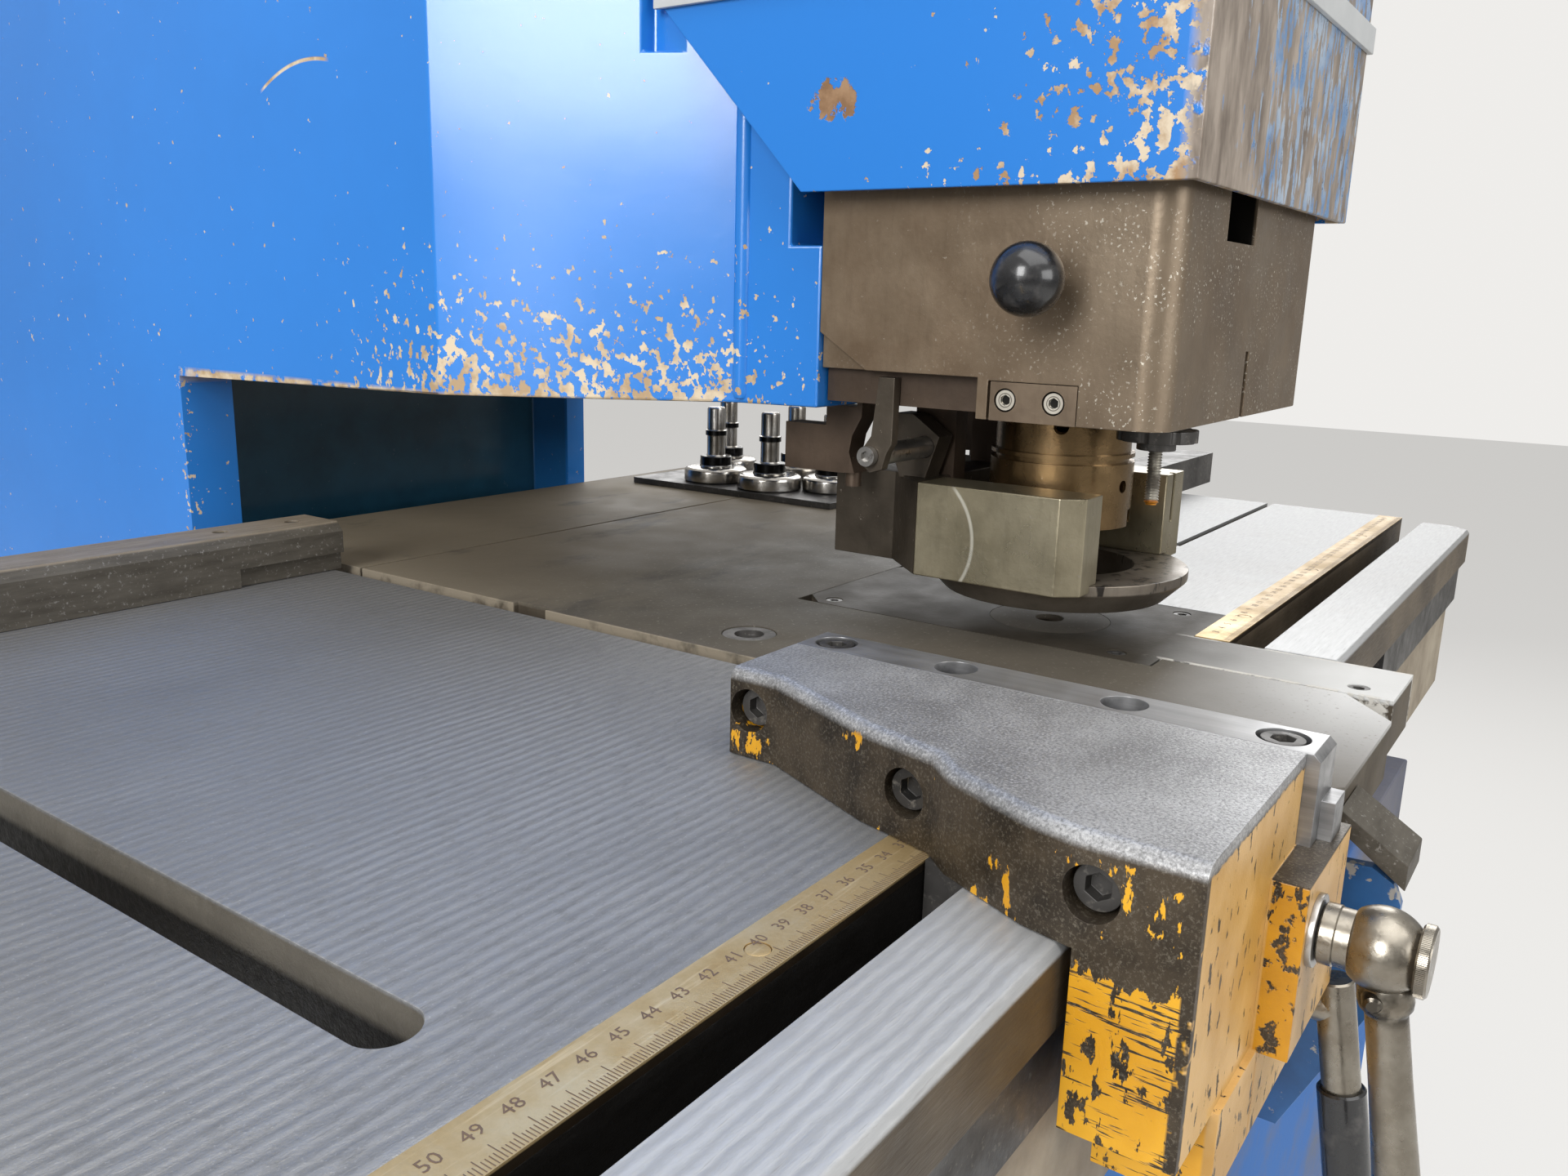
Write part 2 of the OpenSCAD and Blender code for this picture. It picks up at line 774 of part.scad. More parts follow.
// Stripper
module stripper_body() {
    b = body_half;
    pocket = [post_w / 2 + run_fit, post_l / 2 + run_fit];
    at_table() color("#3f382f") difference() {
        union() {
            prism_z(jaw_low, jaw_top, [[-b, body_back], [-b, jaw_back + 26], [-jaw_out, jaw_back],
                [jaw_out, jaw_back], [b, jaw_back + 26], [b, body_back]]);
            // Angled arms above the body
            for (s = [-1, 1])
                prism_x(min(s * arm_in, s * arm_out), max(s * arm_in, s * arm_out),
                    [[45.7, jaw_top - cut], [60, jaw_top - cut], [63, 80], [63, 102], [53.8, 102],
                    [39.1, 92], [45.7, jaw_top]]);
        }
        for (s = [-1, 1])
            block([s * post_x - pocket[0], post_y - pocket[1], jaw_low - cut],
                [s * post_x + pocket[0], post_y + pocket[1], jaw_top + cut]);
        rod_x([-arm_out - cut, latch_y, latch_z], latch_pin_d, cut + 8);
        rod_z([0, 0, jaw_low - cut], 2 * disc_r + 0.6, disc_top - jaw_low + cut);
    }
}

module stripper_jaws() {
    at_table() color("#8f8b7d") difference() {
        union() {
            prism_z(jaw_low, jaw_top, [[-jaw_in, jaw_back], [-jaw_out, jaw_back],
                [-jaw_out, 9.5 - jaw_front], [-jaw_out + 7.6, -jaw_front], [-jaw_in, -jaw_front]]);
            block([jaw_in, -jaw_front, jaw_low], [jaw_out, jaw_back, jaw_top]);
        }
        // Rebate that carries the disc
        rod_z([0, 0, jaw_low - cut], 2 * disc_r + 0.6, disc_top - jaw_low + cut);
        // Upright slot in the front face of the right jaw
        block([53.5, -jaw_front - cut, 47], [56.5, 3 - jaw_front, jaw_top + cut]);
    }
}

module stripper_disc() {
    h = disc_top - disc_low;
    at_table() translate([0, 0, disc_low]) color("#5a554b")
        rotate_extrude($fn = 96)
            polygon([[38.5, 0], [disc_r - h * 0.68, 0], [disc_r, h * 0.68], [disc_r, h], [38.5, h]]);
}

module latch_link() {
    at_table() color("#39342d") difference() {
        prism_x(-latch_out, -latch_in, [[latch_y, 79], [latch_y + 5, 83], [latch_y + 5, 88.5],
            [latch_y, 95.5], [44, 121.5], [36, 121.5], [36.2, 92.6], [38.6, 88.5], [40.8, 81]]);
        rod_x([-latch_out - cut, latch_y, latch_z], latch_neck_d + 2 * run_fit, 20);
    }
}

module latch_pin() {
    at_table() color("#b5b0a6") {
        rod_x([-latch_in + clear, latch_y, latch_z], latch_pin_d, latch_in - arm_out - clear + 8);
        rod_x([-latch_out - clear - 1, latch_y, latch_z], latch_neck_d, latch_out - latch_in + 8);
        translate([-latch_out - clear, latch_y, latch_z]) rotate([0, -90, 0]) socket_head(8.8, 3.6);
    }
}

// Fence
module fence_bar() {
    y0 = fence_y;
    y1 = fence_y + fence_d;
    z0 = clear;
    x1 = -centre_edge - 8;
    at_table() color("#4f5052") difference() {
        prism_x(-left_end, x1, [[y0, z0], [y1, z0], [y1, fence_h], [y0 + 5, fence_h], [y0, fence_h - 5]]);
        // Recess low in the front face near the right end
        block([x1 - 62, y0 - cut, z0 - cut], [x1 + cut, y0 + 3, 10]);
        for (x = [-18, -60])
            rod_z([x1 + x, y0 + 20, 8], 8, fence_h);
        // Hole for the clamp stud
        rod_z([-slot_x, y0 + fence_d / 2, -cut], 12, 18);
    }
}

module fence_clamp() {
    y = fence_y + fence_d / 2;
    at_table() color("#2b2c2e") {
        rod_z([-slot_x, y, -plate_t - 22], 12, plate_t + 38);
        rod_z([-slot_x, y, -plate_t - clear - 4], 26, 4);
        rod_z([-slot_x, y, -plate_t - 24], 44, 16);
    }
}

module right_fence() {
    at_table() color("#4f5052") difference() {
        block([150, right_back + 2, 0], [right_end + 93, right_back + 2 + fence_d, fence_h]);
        for (x = [180, 330])
            rod_z([x, right_back + 20, 6], 11, fence_h);
    }
}

// Sliding gauge
module gauge_casting() {
    z0 = clear;
    h = gauge_h;
    seat = gauge_face + strip_w;
    leg_back = -rail_front - 2.5;
    block_x0 = -gauge_face - 84;
    block_x1 = -gauge_face + 29;
    at_table() color("#5d5e60") difference() {
        union() {
            // Upper body: narrow at the back, stepped wider at the front
            prism_z(z0, h, [[-seat, gauge_back], [-gauge_face - 60, gauge_back],
                [-gauge_face - 60, -10], [-gauge_face - 81, -57], [-gauge_face - 88, -84],
                [-gauge_face - 97, -94], [-gauge_face - 110, -123], [-gauge_face - 113, -137],
                [-gauge_face - 113, -casting_front], [-seat, -casting_front]]);
            // Leg that hangs in front of the rail
            block([-gauge_face - 113, -casting_front, -50], [-gauge_face - 34, leg_back, z0 + cut]);
            // Flange that takes the clamp
            block([-gauge_face - 35, -flange_front, -50], [-gauge_face + 5, leg_back, -8]);
            block([-gauge_face - 35, -casting_front, -9], [-gauge_face, leg_back, z0]);
            // Block under the rail that the clamps draw against
            block([block_x0, -casting_front - 2, block_low_z], [block_x1, leg_back, -50 + cut]);
        }
        // Counterbores on the left face
        for (p = gauge_side_screws)
            rod_x([p[0] - 2, p[1], p[2]], 15, 14);
        // Bores of the clamp stud and of the lock stud
        rod_y([clamp_x, -flange_front - cut, clamp_z], 12, 18);
        rod_y([lever2_x, lever2_y, lever2_z], lock_d + 2 * run_fit, 26);
    }
}

module gauge_strip() {
    y0 = -casting_front - 4;
    z0 = clear;
    x0 = -gauge_face - strip_w + 0.2;
    x1 = -gauge_face;
    at_table() color("#a3a6a8") difference() {
        union() {
            block([x0, y0, z0], [x1, gauge_back, gauge_h]);
            block([x1 - 13, y0 - 4, z0], [x1, y0 + cut, 15]);
        }
        for (y = strip_screws)
            rod_z([x1 - strip_mid, y, gauge_h - 7], 15.6, 7 + cut);
        for (y = [-51, -111])
            rod_z([x1 - strip_mid, y, 12], 15, gauge_h);
        // Bevel on the upper front edge
        translate([0, y0, gauge_h])
            rotate([45, 0, 0])
                cube([600, 3, 3], center = true);
    }
}

module gauge_screws() {
    x1 = -gauge_face;
    at_table() color("#2f3032") {
        for (y = strip_screws)
            translate([x1 - strip_mid, y, gauge_h - 7]) socket_head(13, 6.6);
        for (p = gauge_side_screws)
            translate([p[0] + 12, p[1], p[2]]) rotate([0, -90, 0]) socket_head(13, 7);
    }
}

module slot_key() {
    x0 = -gauge_face - 92;
    x1 = -gauge_face - 30;
    y0 = -tslot_front + clear;
    y1 = -tslot_back - clear;
    at_table() color("#3a3d40") {
        block([x0, y0, -plate_t - 1], [x1, y1, clear]);
        block([x0, y0 - 8, -beam_top + clear], [x1, y1 + 8, -plate_t - clear]);
    }
}

module clamp_stud() {
    at_table() color("#9b9891") {
        // Washer, stud and collar that stand out of the flange
        rod_y([clamp_x, -flange_front - 2, clamp_z], 21, 2);
        rod_y([clamp_x, -flange_front - 2, clamp_z], 12, 16);
        rod_y([clamp_x, -flange_front - 9, clamp_z], 9, 8);
    }
}

module clamp_lever() {
    cy = -flange_front - clamp_reach;
    at_table() color("#8d8779") difference() {
        union() {
            // Stub, ball hub and knurled cap on one axis
            rod_y([clamp_x, cy, clamp_z], 17, clamp_reach - 2 - clear);
            translate([clamp_x, cy, clamp_z]) sphere(d = ball_d);
            rod_y([clamp_x, cy - ball_d / 2 - 1.5, clamp_z], 17, 6);
            // Tapered handle that hangs down and a little outwards
            translate([clamp_x, cy, clamp_z])
                rotate([170, 0, 0])
                    rotate_extrude()
                        polygon([[0, 4], [8, 8], [7.5, 14], [5.6, 17], [7.4, lever_l - 6],
                            [5.5, lever_l], [0, lever_l]]);
        }
        rod_y([clamp_x, cy + 8, clamp_z], 9 + 2 * run_fit, 20);
    }
}

// Blue bracket on the front of the frame with its locking lever
module lever_bracket() {
    x0 = bracket_x;
    foot = -base_drop - 40;
    at_table() color("#1c63b7") {
        // Plate with a round upper corner that stands out of the frame
        prism_x(x0, x0 + 5, [[-bed_front, -base_drop], [-base_front, -base_drop], [-base_front, foot],
            [-base_front - 12, foot], [-190, -70], [-191, -36], [-188, -29], [-181, -25],
            [-bed_front, -29]]);
        block([x0, -bed_front - 6, -base_drop], [x0 + 60, -bed_front, -29]);
    }
}

// Flat steel strap from the centre plate's front down to the bracket
module bracket_strap() {
    x0 = bracket_x;
    y0 = -centre_front - clear;
    at_table() color("#7d8286")
        prism_x(x0 - 4, x0 + 24, [[y0, -13], [-192, -29], [-192, -20], [y0, -6]]);
}

module lock_lever() {
    at_table() color("#6d6b66") {
        rod_y([lever2_x, lever2_y, lever2_z], lock_d, 24);
        translate([lever2_x, lever2_y, lever2_z]) rotate([170, 0, 0]) rod_z([0, 0, -10], 12, 70);
    }
}

module lever_sleeve() {
    at_table() color("#121314")
        translate([lever2_x, lever2_y, lever2_z]) rotate([170, 0, 0]) difference() {
            rod_z([0, 0, 27], 15, 102);
            rod_z([0, 0, 26], 12, 34);
        }
}

// Tray that stands on the table behind the head
module tool_tray() {
    at_table() color("#2b2f33") difference() {
        block([197, 262, 0], [330, 460, tray_t]);
        for (h = holders)
            rod_z([h[0], h[1], tray_t - 4], 20, 5);
    }
}

// Punch holders: a flange on a spigot, with a grooved stem
module punch_holders() {
    at_table() color("#8f9192")
        for (h = holders)
            translate([h[0], h[1], tray_t - 4]) {
                cylinder(d = 19.6, h = 5);
                translate([0, 0, 4]) cylinder(d = h[2], h = 12);
                translate([0, 0, 15]) cylinder(d = 26, h = 8);
                translate([0, 0, 22]) cylinder(d = 15, h = 46);
                translate([0, 0, 44]) cylinder(d = 19, h = 8);
            }
}

// Power pack and door
module oil_tank() {
    y0 = throat_y + recess_d + frame_wall + 20;
    color("#2a4d7a") difference() {
        block([-110, y0, foot_t + frame_wall], [110, column_back - 60, tank_top]);
        rod_z([-70, y0 + 50, tank_top - 20], 40, 30);
    }
}

module pump_motor() {
    y = throat_y + column_d * 0.56;
    color("#3c6a94") difference() {
        union() {
            rod_z([0, y, tank_top], 180, 14);
            rod_z([0, y, tank_top + 14], 150, 220);
            for (a = [0 : 15 : 345])
                translate([0, y, tank_top + 40])
                    rotate([0, 0, a]) block([70, -1.5, 0], [82, 1.5, 150]);
            block([70, y - 35, tank_top + 70], [105, y + 35, tank_top + 160]);
        }
        rod_z([0, y, tank_top + 214], 120, 30);
    }
}

module rear_door() {
    y0 = column_back + clear;
    hinge_x = -door_x - 6;
    hinge_y = column_back + 8;
    color("#1c63b7") {
        difference() {
            block([-door_x, y0, door_z0], [door_x, y0 + door_t, door_z1]);
            for (z = [door_z1 - 120 : 16 : door_z1 - 40])
                block([-70, y0 - cut, z], [70, y0 + door_t + cut, z + 5]);
        }
        // Knuckles of the hinges, on the door's side
        for (z = [door_z0 + 80, door_z1 - 120])
            difference() {
                union() {
                    rod_z([hinge_x, hinge_y, z + 20], hinge_d + 4, 20);
                    block([hinge_x, hinge_y - 1.5, z + 20], [-door_x + 12, hinge_y + 1.5, z + 40]);
                    block([-door_x, y0 + door_t - cut, z + 20], [-door_x + 12, hinge_y + 1.5, z + 40]);
                }
                rod_z([hinge_x, hinge_y, z + 19], hinge_d - 3 + 2 * run_fit, 22);
            }
        // Pull handle
        for (z = [400, 520])
            block([door_x - 32, y0 + door_t - cut, z], [door_x - 22, y0 + 34, z + 10]);
        block([door_x - 32, y0 + 26, 400], [door_x - 22, y0 + 34, 530]);
    }
}

module door_hinges() {
    hinge_x = -door_x - 6;
    hinge_y = column_back + 8;
    color("#3a3d40")
        for (z = [door_z0 + 80, door_z1 - 120]) {
            for (zz = [z - 0.3, z + 40.3])
                difference() {
                    union() {
                        rod_z([hinge_x, hinge_y, zz], hinge_d + 4, 20);
                        block([hinge_x - 20, column_back, zz], [hinge_x, hinge_y, zz + 20]);
                    }
                    rod_z([hinge_x, hinge_y, zz - cut], hinge_d - 3, 22);
                }
            rod_z([hinge_x, hinge_y, z - 0.3], hinge_d - 3, 60.6);
        }
}

// Push button on the switch box, with a wider head where cap is not zero
module switch_button(z, d, cap) {
    x0 = frame_half + box_d;
    y = box_y + box_w / 2;
    rod_x([x0 - 22, y, box_z + z], d, 31);
    if (cap > 0)
        rod_x([x0 + 8, y, box_z + z], cap, 12);
}

module switch_box() {
    x0 = frame_half;
    color("#9aa0a4") difference() {
        block([x0, box_y, box_z], [x0 + box_d, box_y + box_w, box_z + box_h]);
        for (z = [45, 95, 140])
            rod_x([x0 + box_d - 35, box_y + box_w / 2, box_z + z], button_d + 2 * clear, 40);
        rod_x([x0 + box_d - 35, box_y + box_w / 2, box_z + 190], 14 + 2 * run_fit, 40);
    }
}

module start_button() {
    color("#2f9e44") switch_button(140, button_d, 0);
}

module stop_button() {
    color("#b3261e") switch_button(95, button_d, 0);
}

module emergency_button() {
    color("#c2261c") switch_button(45, button_d, 40);
}

module main_switch() {
    x0 = frame_half + box_d;
    z = box_z + 190;
    y = box_y + box_w / 2;
    color("#16181a") {
        rod_x([x0 - 22, y, z], 14, 26);
        rod_x([x0 + 1, y, z], 34, 12);
        block([x0 + 12, y - 5, z - 17], [x0 + 24, y + 5, z + 17]);
    }
}

floor_plate();
c_frame();
die_bolster();
table_packers();
left_wing();
centre_plate();
back_plate();
right_wing();
die_plate();
left_rail();
right_rail();
left_scale();
right_scale();
left_beam();
right_beam();
left_brackets();
right_brackets();
table_screws();
head_housing();
guide_block();
head_cover();
cover_trim();
side_plate();
die_insert();
hydraulic_cylinder();
ram();
punch_ring();
ball_knob();
knob_stem();
threaded_rod();
hand_nut();
stripper_body();
stripper_jaws();
stripper_disc();
latch_link();
latch_pin();
fence_bar();
fence_clamp();
right_fence();
gauge_casting();
gauge_strip();
gauge_screws();
slot_key();
clamp_stud();
clamp_lever();
lever_bracket();
bracket_strap();
lock_lever();
lever_sleeve();
tool_tray();
punch_holders();
oil_tank();
pump_motor();
rear_door();
door_hinges();
switch_box();
main_switch();
start_button();
stop_button();
emergency_button();
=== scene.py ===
import bpy
import bmesh
import math
from mathutils import Matrix, Vector


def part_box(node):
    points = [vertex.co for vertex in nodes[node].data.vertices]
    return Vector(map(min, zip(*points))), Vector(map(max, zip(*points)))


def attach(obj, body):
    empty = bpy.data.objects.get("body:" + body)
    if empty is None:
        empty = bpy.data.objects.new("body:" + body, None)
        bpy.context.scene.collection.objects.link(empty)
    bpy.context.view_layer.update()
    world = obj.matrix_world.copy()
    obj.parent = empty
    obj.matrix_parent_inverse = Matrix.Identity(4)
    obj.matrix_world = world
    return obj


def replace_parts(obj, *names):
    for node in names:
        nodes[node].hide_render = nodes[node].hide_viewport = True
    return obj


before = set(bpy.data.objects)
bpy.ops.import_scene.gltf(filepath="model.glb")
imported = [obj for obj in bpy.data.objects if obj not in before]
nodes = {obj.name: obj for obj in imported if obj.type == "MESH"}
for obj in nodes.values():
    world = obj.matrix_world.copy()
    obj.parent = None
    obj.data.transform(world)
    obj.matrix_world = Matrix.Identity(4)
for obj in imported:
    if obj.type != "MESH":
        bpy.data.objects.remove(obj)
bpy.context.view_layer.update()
table_top = 0.900

# The view: a phone held left of the gauge, a little above the table and turned
# towards the throat. The eye point and the angles come from the table's own edges.
eye = Vector((-0.5715, -0.235, table_top + 0.15307))
yaw, pitch, roll = math.radians(34.965), math.radians(13.192), math.radians(-1.5)
ahead = Vector((math.cos(pitch) * math.cos(yaw), math.cos(pitch) * math.sin(yaw), -math.sin(pitch)))
level = Vector((math.sin(yaw), -math.cos(yaw), 0))
below = ahead.cross(level)
right = math.cos(roll) * level + math.sin(roll) * below
down = math.cos(roll) * below - math.sin(roll) * level
lens = bpy.data.cameras.new("camera")
lens.sensor_fit = "HORIZONTAL"
lens.sensor_width = 36
lens.lens = 28.19
lens.clip_start = 0.02
camera = bpy.data.objects.new("camera", lens)
camera.matrix_world = Matrix((right, -down, -ahead)).transposed().to_4x4()
camera.location = eye
bpy.context.scene.collection.objects.link(camera)
bpy.context.scene.camera = camera

# The studio: a pale floor, a pale surround and soft lamps. In reflections the surround
# is darker near the horizon than overhead, so steel doesn't turn white.
bpy.context.scene.view_settings.view_transform = "Standard"
world = bpy.data.worlds.new("studio")
bpy.context.scene.world = world
world.use_nodes = True
sky = world.node_tree
rays = sky.nodes.new("ShaderNodeLightPath")
heading = sky.nodes.new("ShaderNodeTexCoord")
upward = sky.nodes.new("ShaderNodeSeparateXYZ")
sky.links.new(heading.outputs["Generated"], upward.inputs["Vector"])
glow = sky.nodes.new("ShaderNodeMapRange")
for socket, value in (("From Min", -0.05), ("From Max", 0.75), ("To Min", 0.26), ("To Max", 0.78)):
    glow.inputs[socket].default_value = value
sky.links.new(upward.outputs["Z"], glow.inputs["Value"])
mirrored = sky.nodes.new("ShaderNodeMix")
mirrored.inputs[2].default_value = 0.40
sky.links.new(rays.outputs["Is Glossy Ray"], mirrored.inputs["Factor"])
sky.links.new(glow.outputs["Result"], mirrored.inputs[3])
strength = sky.nodes.new("ShaderNodeMix")
strength.inputs[3].default_value = 0.86
sky.links.new(rays.outputs["Is Camera Ray"], strength.inputs["Factor"])
sky.links.new(mirrored.outputs[0], strength.inputs[2])
sky.links.new(strength.outputs[0], sky.nodes["Background"].inputs["Strength"])
sky.nodes["Background"].inputs["Color"].default_value = (1.0, 0.985, 0.96, 1)


def soft_lamp(name, place, target, width, height, watts):
    data = bpy.data.lights.new(name, "AREA")
    data.shape = "RECTANGLE"
    data.size = width
    data.size_y = height
    data.energy = watts
    lamp = bpy.data.objects.new(name, data)
    lamp.location = place
    lamp.rotation_euler = (Vector(target) - Vector(place)).to_track_quat("-Z", "Y").to_euler()
    lamp.visible_camera = False
    bpy.context.scene.collection.objects.link(lamp)


soft_lamp("window_left", (-2.9, -0.2, 2.2), (0, 0.1, 1.1), 1.1, 1.45, 74)
soft_lamp("window_low", (-2.9, 0.02, 1.14), (-0.15, 0.22, 1.05), 0.20, 0.66, 2.1)
soft_lamp("window_right", (2.6, 1.2, 2.2), (0, 0, 0.9), 3.0, 1.6, 60)
soft_lamp("ceiling", (-0.4, -0.8, 3.6), (0, 0.1, 0.9), 3.0, 3.0, 72)
soft_lamp("front", (-0.2, -3.0, 1.7), (0, 0, 0.9), 2.0, 1.2, 34)

floor_mesh = bpy.data.meshes.new("floor")
bm = bmesh.new()
bmesh.ops.create_grid(bm, x_segments=1, y_segments=1, size=12)
bm.to_mesh(floor_mesh)
bm.free()
floor = bpy.data.objects.new("floor", floor_mesh)
bpy.context.scene.collection.objects.link(floor)
floor_paint = bpy.data.materials.new("floor_paint")
floor_paint.use_nodes = True
ground = floor_paint.node_tree
matt = ground.nodes["Principled BSDF"]
matt.inputs["Base Color"].default_value = (0.70, 0.69, 0.67, 1)
matt.inputs["Roughness"].default_value = 0.9
pale = ground.nodes.new("ShaderNodeEmission")
pale.inputs["Color"].default_value = (0.80, 0.79, 0.77, 1)
looked_at = ground.nodes.new("ShaderNodeLightPath")
half = ground.nodes.new("ShaderNodeMath")
half.operation = "MULTIPLY"
half.inputs[1].default_value = 0.6
ground.links.new(looked_at.outputs["Is Camera Ray"], half.inputs[0])
mixed = ground.nodes.new("ShaderNodeMixShader")
ground.links.new(half.outputs[0], mixed.inputs["Fac"])
ground.links.new(matt.outputs["BSDF"], mixed.inputs[1])
ground.links.new(pale.outputs["Emission"], mixed.inputs[2])
ground.links.new(mixed.outputs["Shader"], ground.nodes["Material Output"].inputs["Surface"])
floor_mesh.materials.append(floor_paint)


# Azure enamel of the welded frame: brushed on thick and glossy, with cream filler
# showing where sheets have knocked it off, most of all along the arm's lower edge.
def new_finish(name, colour, rough, metal=0.0, coat=0.0):
    mat = bpy.data.materials.new(name)
    mat.use_nodes = True
    shader = mat.node_tree.nodes["Principled BSDF"]
    shader.inputs["Base Color"].default_value = (*colour, 1)
    shader.inputs["Roughness"].default_value = rough
    shader.inputs["Metallic"].default_value = metal
    shader.inputs["Coat Weight"].default_value = coat
    shader.inputs["Coat Roughness"].default_value = 0.06
    return mat, mat.node_tree, shader


def position(tree, stretch=(1, 1, 1), turn=(0, 0, 0)):
    spot = tree.nodes.new("ShaderNodeTexCoord")
    mapping = tree.nodes.new("ShaderNodeMapping")
    mapping.inputs["Scale"].default_value = stretch
    mapping.inputs["Rotation"].default_value = turn
    tree.links.new(spot.outputs["Object"], mapping.inputs["Vector"])
    return mapping.outputs["Vector"]


def clouds(tree, vector, scale, detail=5.0, rough=0.6):
    node = tree.nodes.new("ShaderNodeTexNoise")
    node.inputs["Scale"].default_value = scale
    node.inputs["Detail"].default_value = detail
    node.inputs["Roughness"].default_value = rough
    tree.links.new(vector, node.inputs["Vector"])
    return node.outputs["Fac"]


def remap(tree, value, low, high, start=0.0, end=1.0):
    node = tree.nodes.new("ShaderNodeMapRange")
    node.inputs["From Min"].default_value = low
    node.inputs["From Max"].default_value = high
    node.inputs["To Min"].default_value = start
    node.inputs["To Max"].default_value = end
    tree.links.new(value, node.inputs["Value"])
    return node.outputs["Result"]


def sums(tree, kind, first, second):
    node = tree.nodes.new("ShaderNodeMath")
    node.operation = kind
    for socket, value in zip(node.inputs, (first, second)):
        if isinstance(value, (int, float)):
            socket.default_value = value
        else:
            tree.links.new(value, socket)
    return node.outputs[0]


def blend(tree, share, first, second):
    node = tree.nodes.new("ShaderNodeMix")
    node.data_type = "RGBA"
    tree.links.new(share, node.inputs["Factor"])
    for socket, value in ((node.inputs[6], first), (node.inputs[7], second)):
        if isinstance(value, tuple):
            socket.default_value = (*value, 1)
        else:
            tree.links.new(value, socket)
    return node.outputs[2]


def plus(tree, first, second):
    return sums(tree, "ADD", first, second)


def less(tree, first, second):
    return sums(tree, "SUBTRACT", first, second)


def most(tree, first, second):
    return sums(tree, "MAXIMUM", first, second)


def least(tree, first, second):
    return sums(tree, "MINIMUM", first, second)


def power(tree, value, exponent):
    return sums(tree, "POWER", value, exponent)


def mottle(tree, vector, scale, low, high, detail=5.0, rough=0.6):
    return remap(tree, clouds(tree, vector, scale, detail, rough), low, high)


def two_tone(tree, vector, scale, low, high, first, second, detail=5.0, rough=0.6):
    return blend(tree, mottle(tree, vector, scale, low, high, detail, rough), first, second)


def from_table(tree, height, low, up, start=0.0, end=1.0):
    return remap(tree, height, table_top + low, table_top + up, start, end)


def drive(shader, socket, value):
    shader.id_data.links.new(value, shader.inputs[socket])


def relief(tree, shader, height, depth, strength=1.0):
    node = tree.nodes.new("ShaderNodeBump")
    node.inputs["Distance"].default_value = depth
    node.inputs["Strength"].default_value = strength
    tree.links.new(height, node.inputs["Height"])
    tree.links.new(node.outputs["Normal"], shader.inputs["Normal"])


def axis_of(tree, letter):
    split = tree.nodes.new("ShaderNodeSeparateXYZ")
    tree.links.new(position(tree), split.inputs["Vector"])
    return split.outputs[letter]


def wear_it(mat, *names):
    for name in names:
        mesh = nodes[name].data
        mesh.materials.clear()
        mesh.materials.append(mat)


def inside(tree, value, low, high, soft):
    first = remap(tree, value, low - soft, low + soft)
    return least(tree, first, remap(tree, value, high - soft, high + soft, 1.0, 0.0))


def times(tree, *values):
    total = values[0]
    for value in values[1:]:
        total = sums(tree, "MULTIPLY", total, value)
    return total


def apart(tree, value, centre):
    return sums(tree, "ABSOLUTE", less(tree, value, centre), 0.0)


azure = (0.016, 0.185, 0.60)
arm_low, throat_y, flank_x, scratch_high = table_top + 0.100, 0.493, 0.172, table_top + 0.265
frame_enamel, tree, shader = new_finish("frame_enamel", azure, 0.2, coat=0.5)
shader.inputs["Coat Roughness"].default_value = 0.16
spot = position(tree)
across, along, high = (axis_of(tree, letter) for letter in "XYZ")
tint = two_tone(tree, spot, 4, 0.35, 0.65, (0.0155, 0.181, 0.590), (0.0195, 0.206, 0.660))
# Chips: thickest low on the arm, between its nose and the throat, then at the throat's
# front corner and round the foot of the frame.
band = remap(tree, high, arm_low, arm_low + 0.115, 1.0, 0.0)
reach = least(tree, remap(tree, along, 0.36, 0.25, 0.10, 1.0), remap(tree, along, 0.085, 0.13, 0.35, 1.0))
arm = times(tree, power(tree, band, 1.5), reach, from_table(tree, high, 0.09, 0.095))
by_throat = remap(tree, apart(tree, along, throat_y), 0.003, 0.008, 1.0, 0.0)
by_flank = remap(tree, apart(tree, across, -flank_x), 0.004, 0.012, 1.0, 0.1)
corner = times(tree, by_throat, by_flank, inside(tree, high, table_top - 0.02, arm_low, 0.002))
knocked = times(tree, remap(tree, high, 0.16, 0.03), 0.72)
need = remap(tree, most(tree, most(tree, arm, knocked), times(tree, corner, 0.55)), 0, 1, 0.715, 0.455)
flake = clouds(tree, position(tree, (1, 1, 0.8), (0.5, 0, 0)), 235, 3, 0.55)
chipped = remap(tree, less(tree, flake, need), 0.0, 0.012)
lip = times(tree, inside(tree, high, arm_low - 0.004, arm_low + 0.0045, 0.001),
    mottle(tree, spot, 90, 0.40, 0.46, 4), inside(tree, along, 0.16, 0.4922, 0.02),
    remap(tree, along, 0.4925, 0.4920))
arc = less(tree, along, 0.345)
bow = plus(tree, high, times(tree, arc, arc, 6.5))
scratch = times(tree, remap(tree, apart(tree, bow, scratch_high), 0.0006, 0.0011, 1.0, 0.0),
    inside(tree, along, 0.331, 0.387, 0.002), remap(tree, across, -0.165, -0.170))
bare = most(tree, most(tree, chipped, lip), scratch)
filler = two_tone(tree, spot, 70, 0.4, 0.6, (0.66, 0.55, 0.39), (0.42, 0.29, 0.16))
coloured = blend(tree, bare, tint, filler)
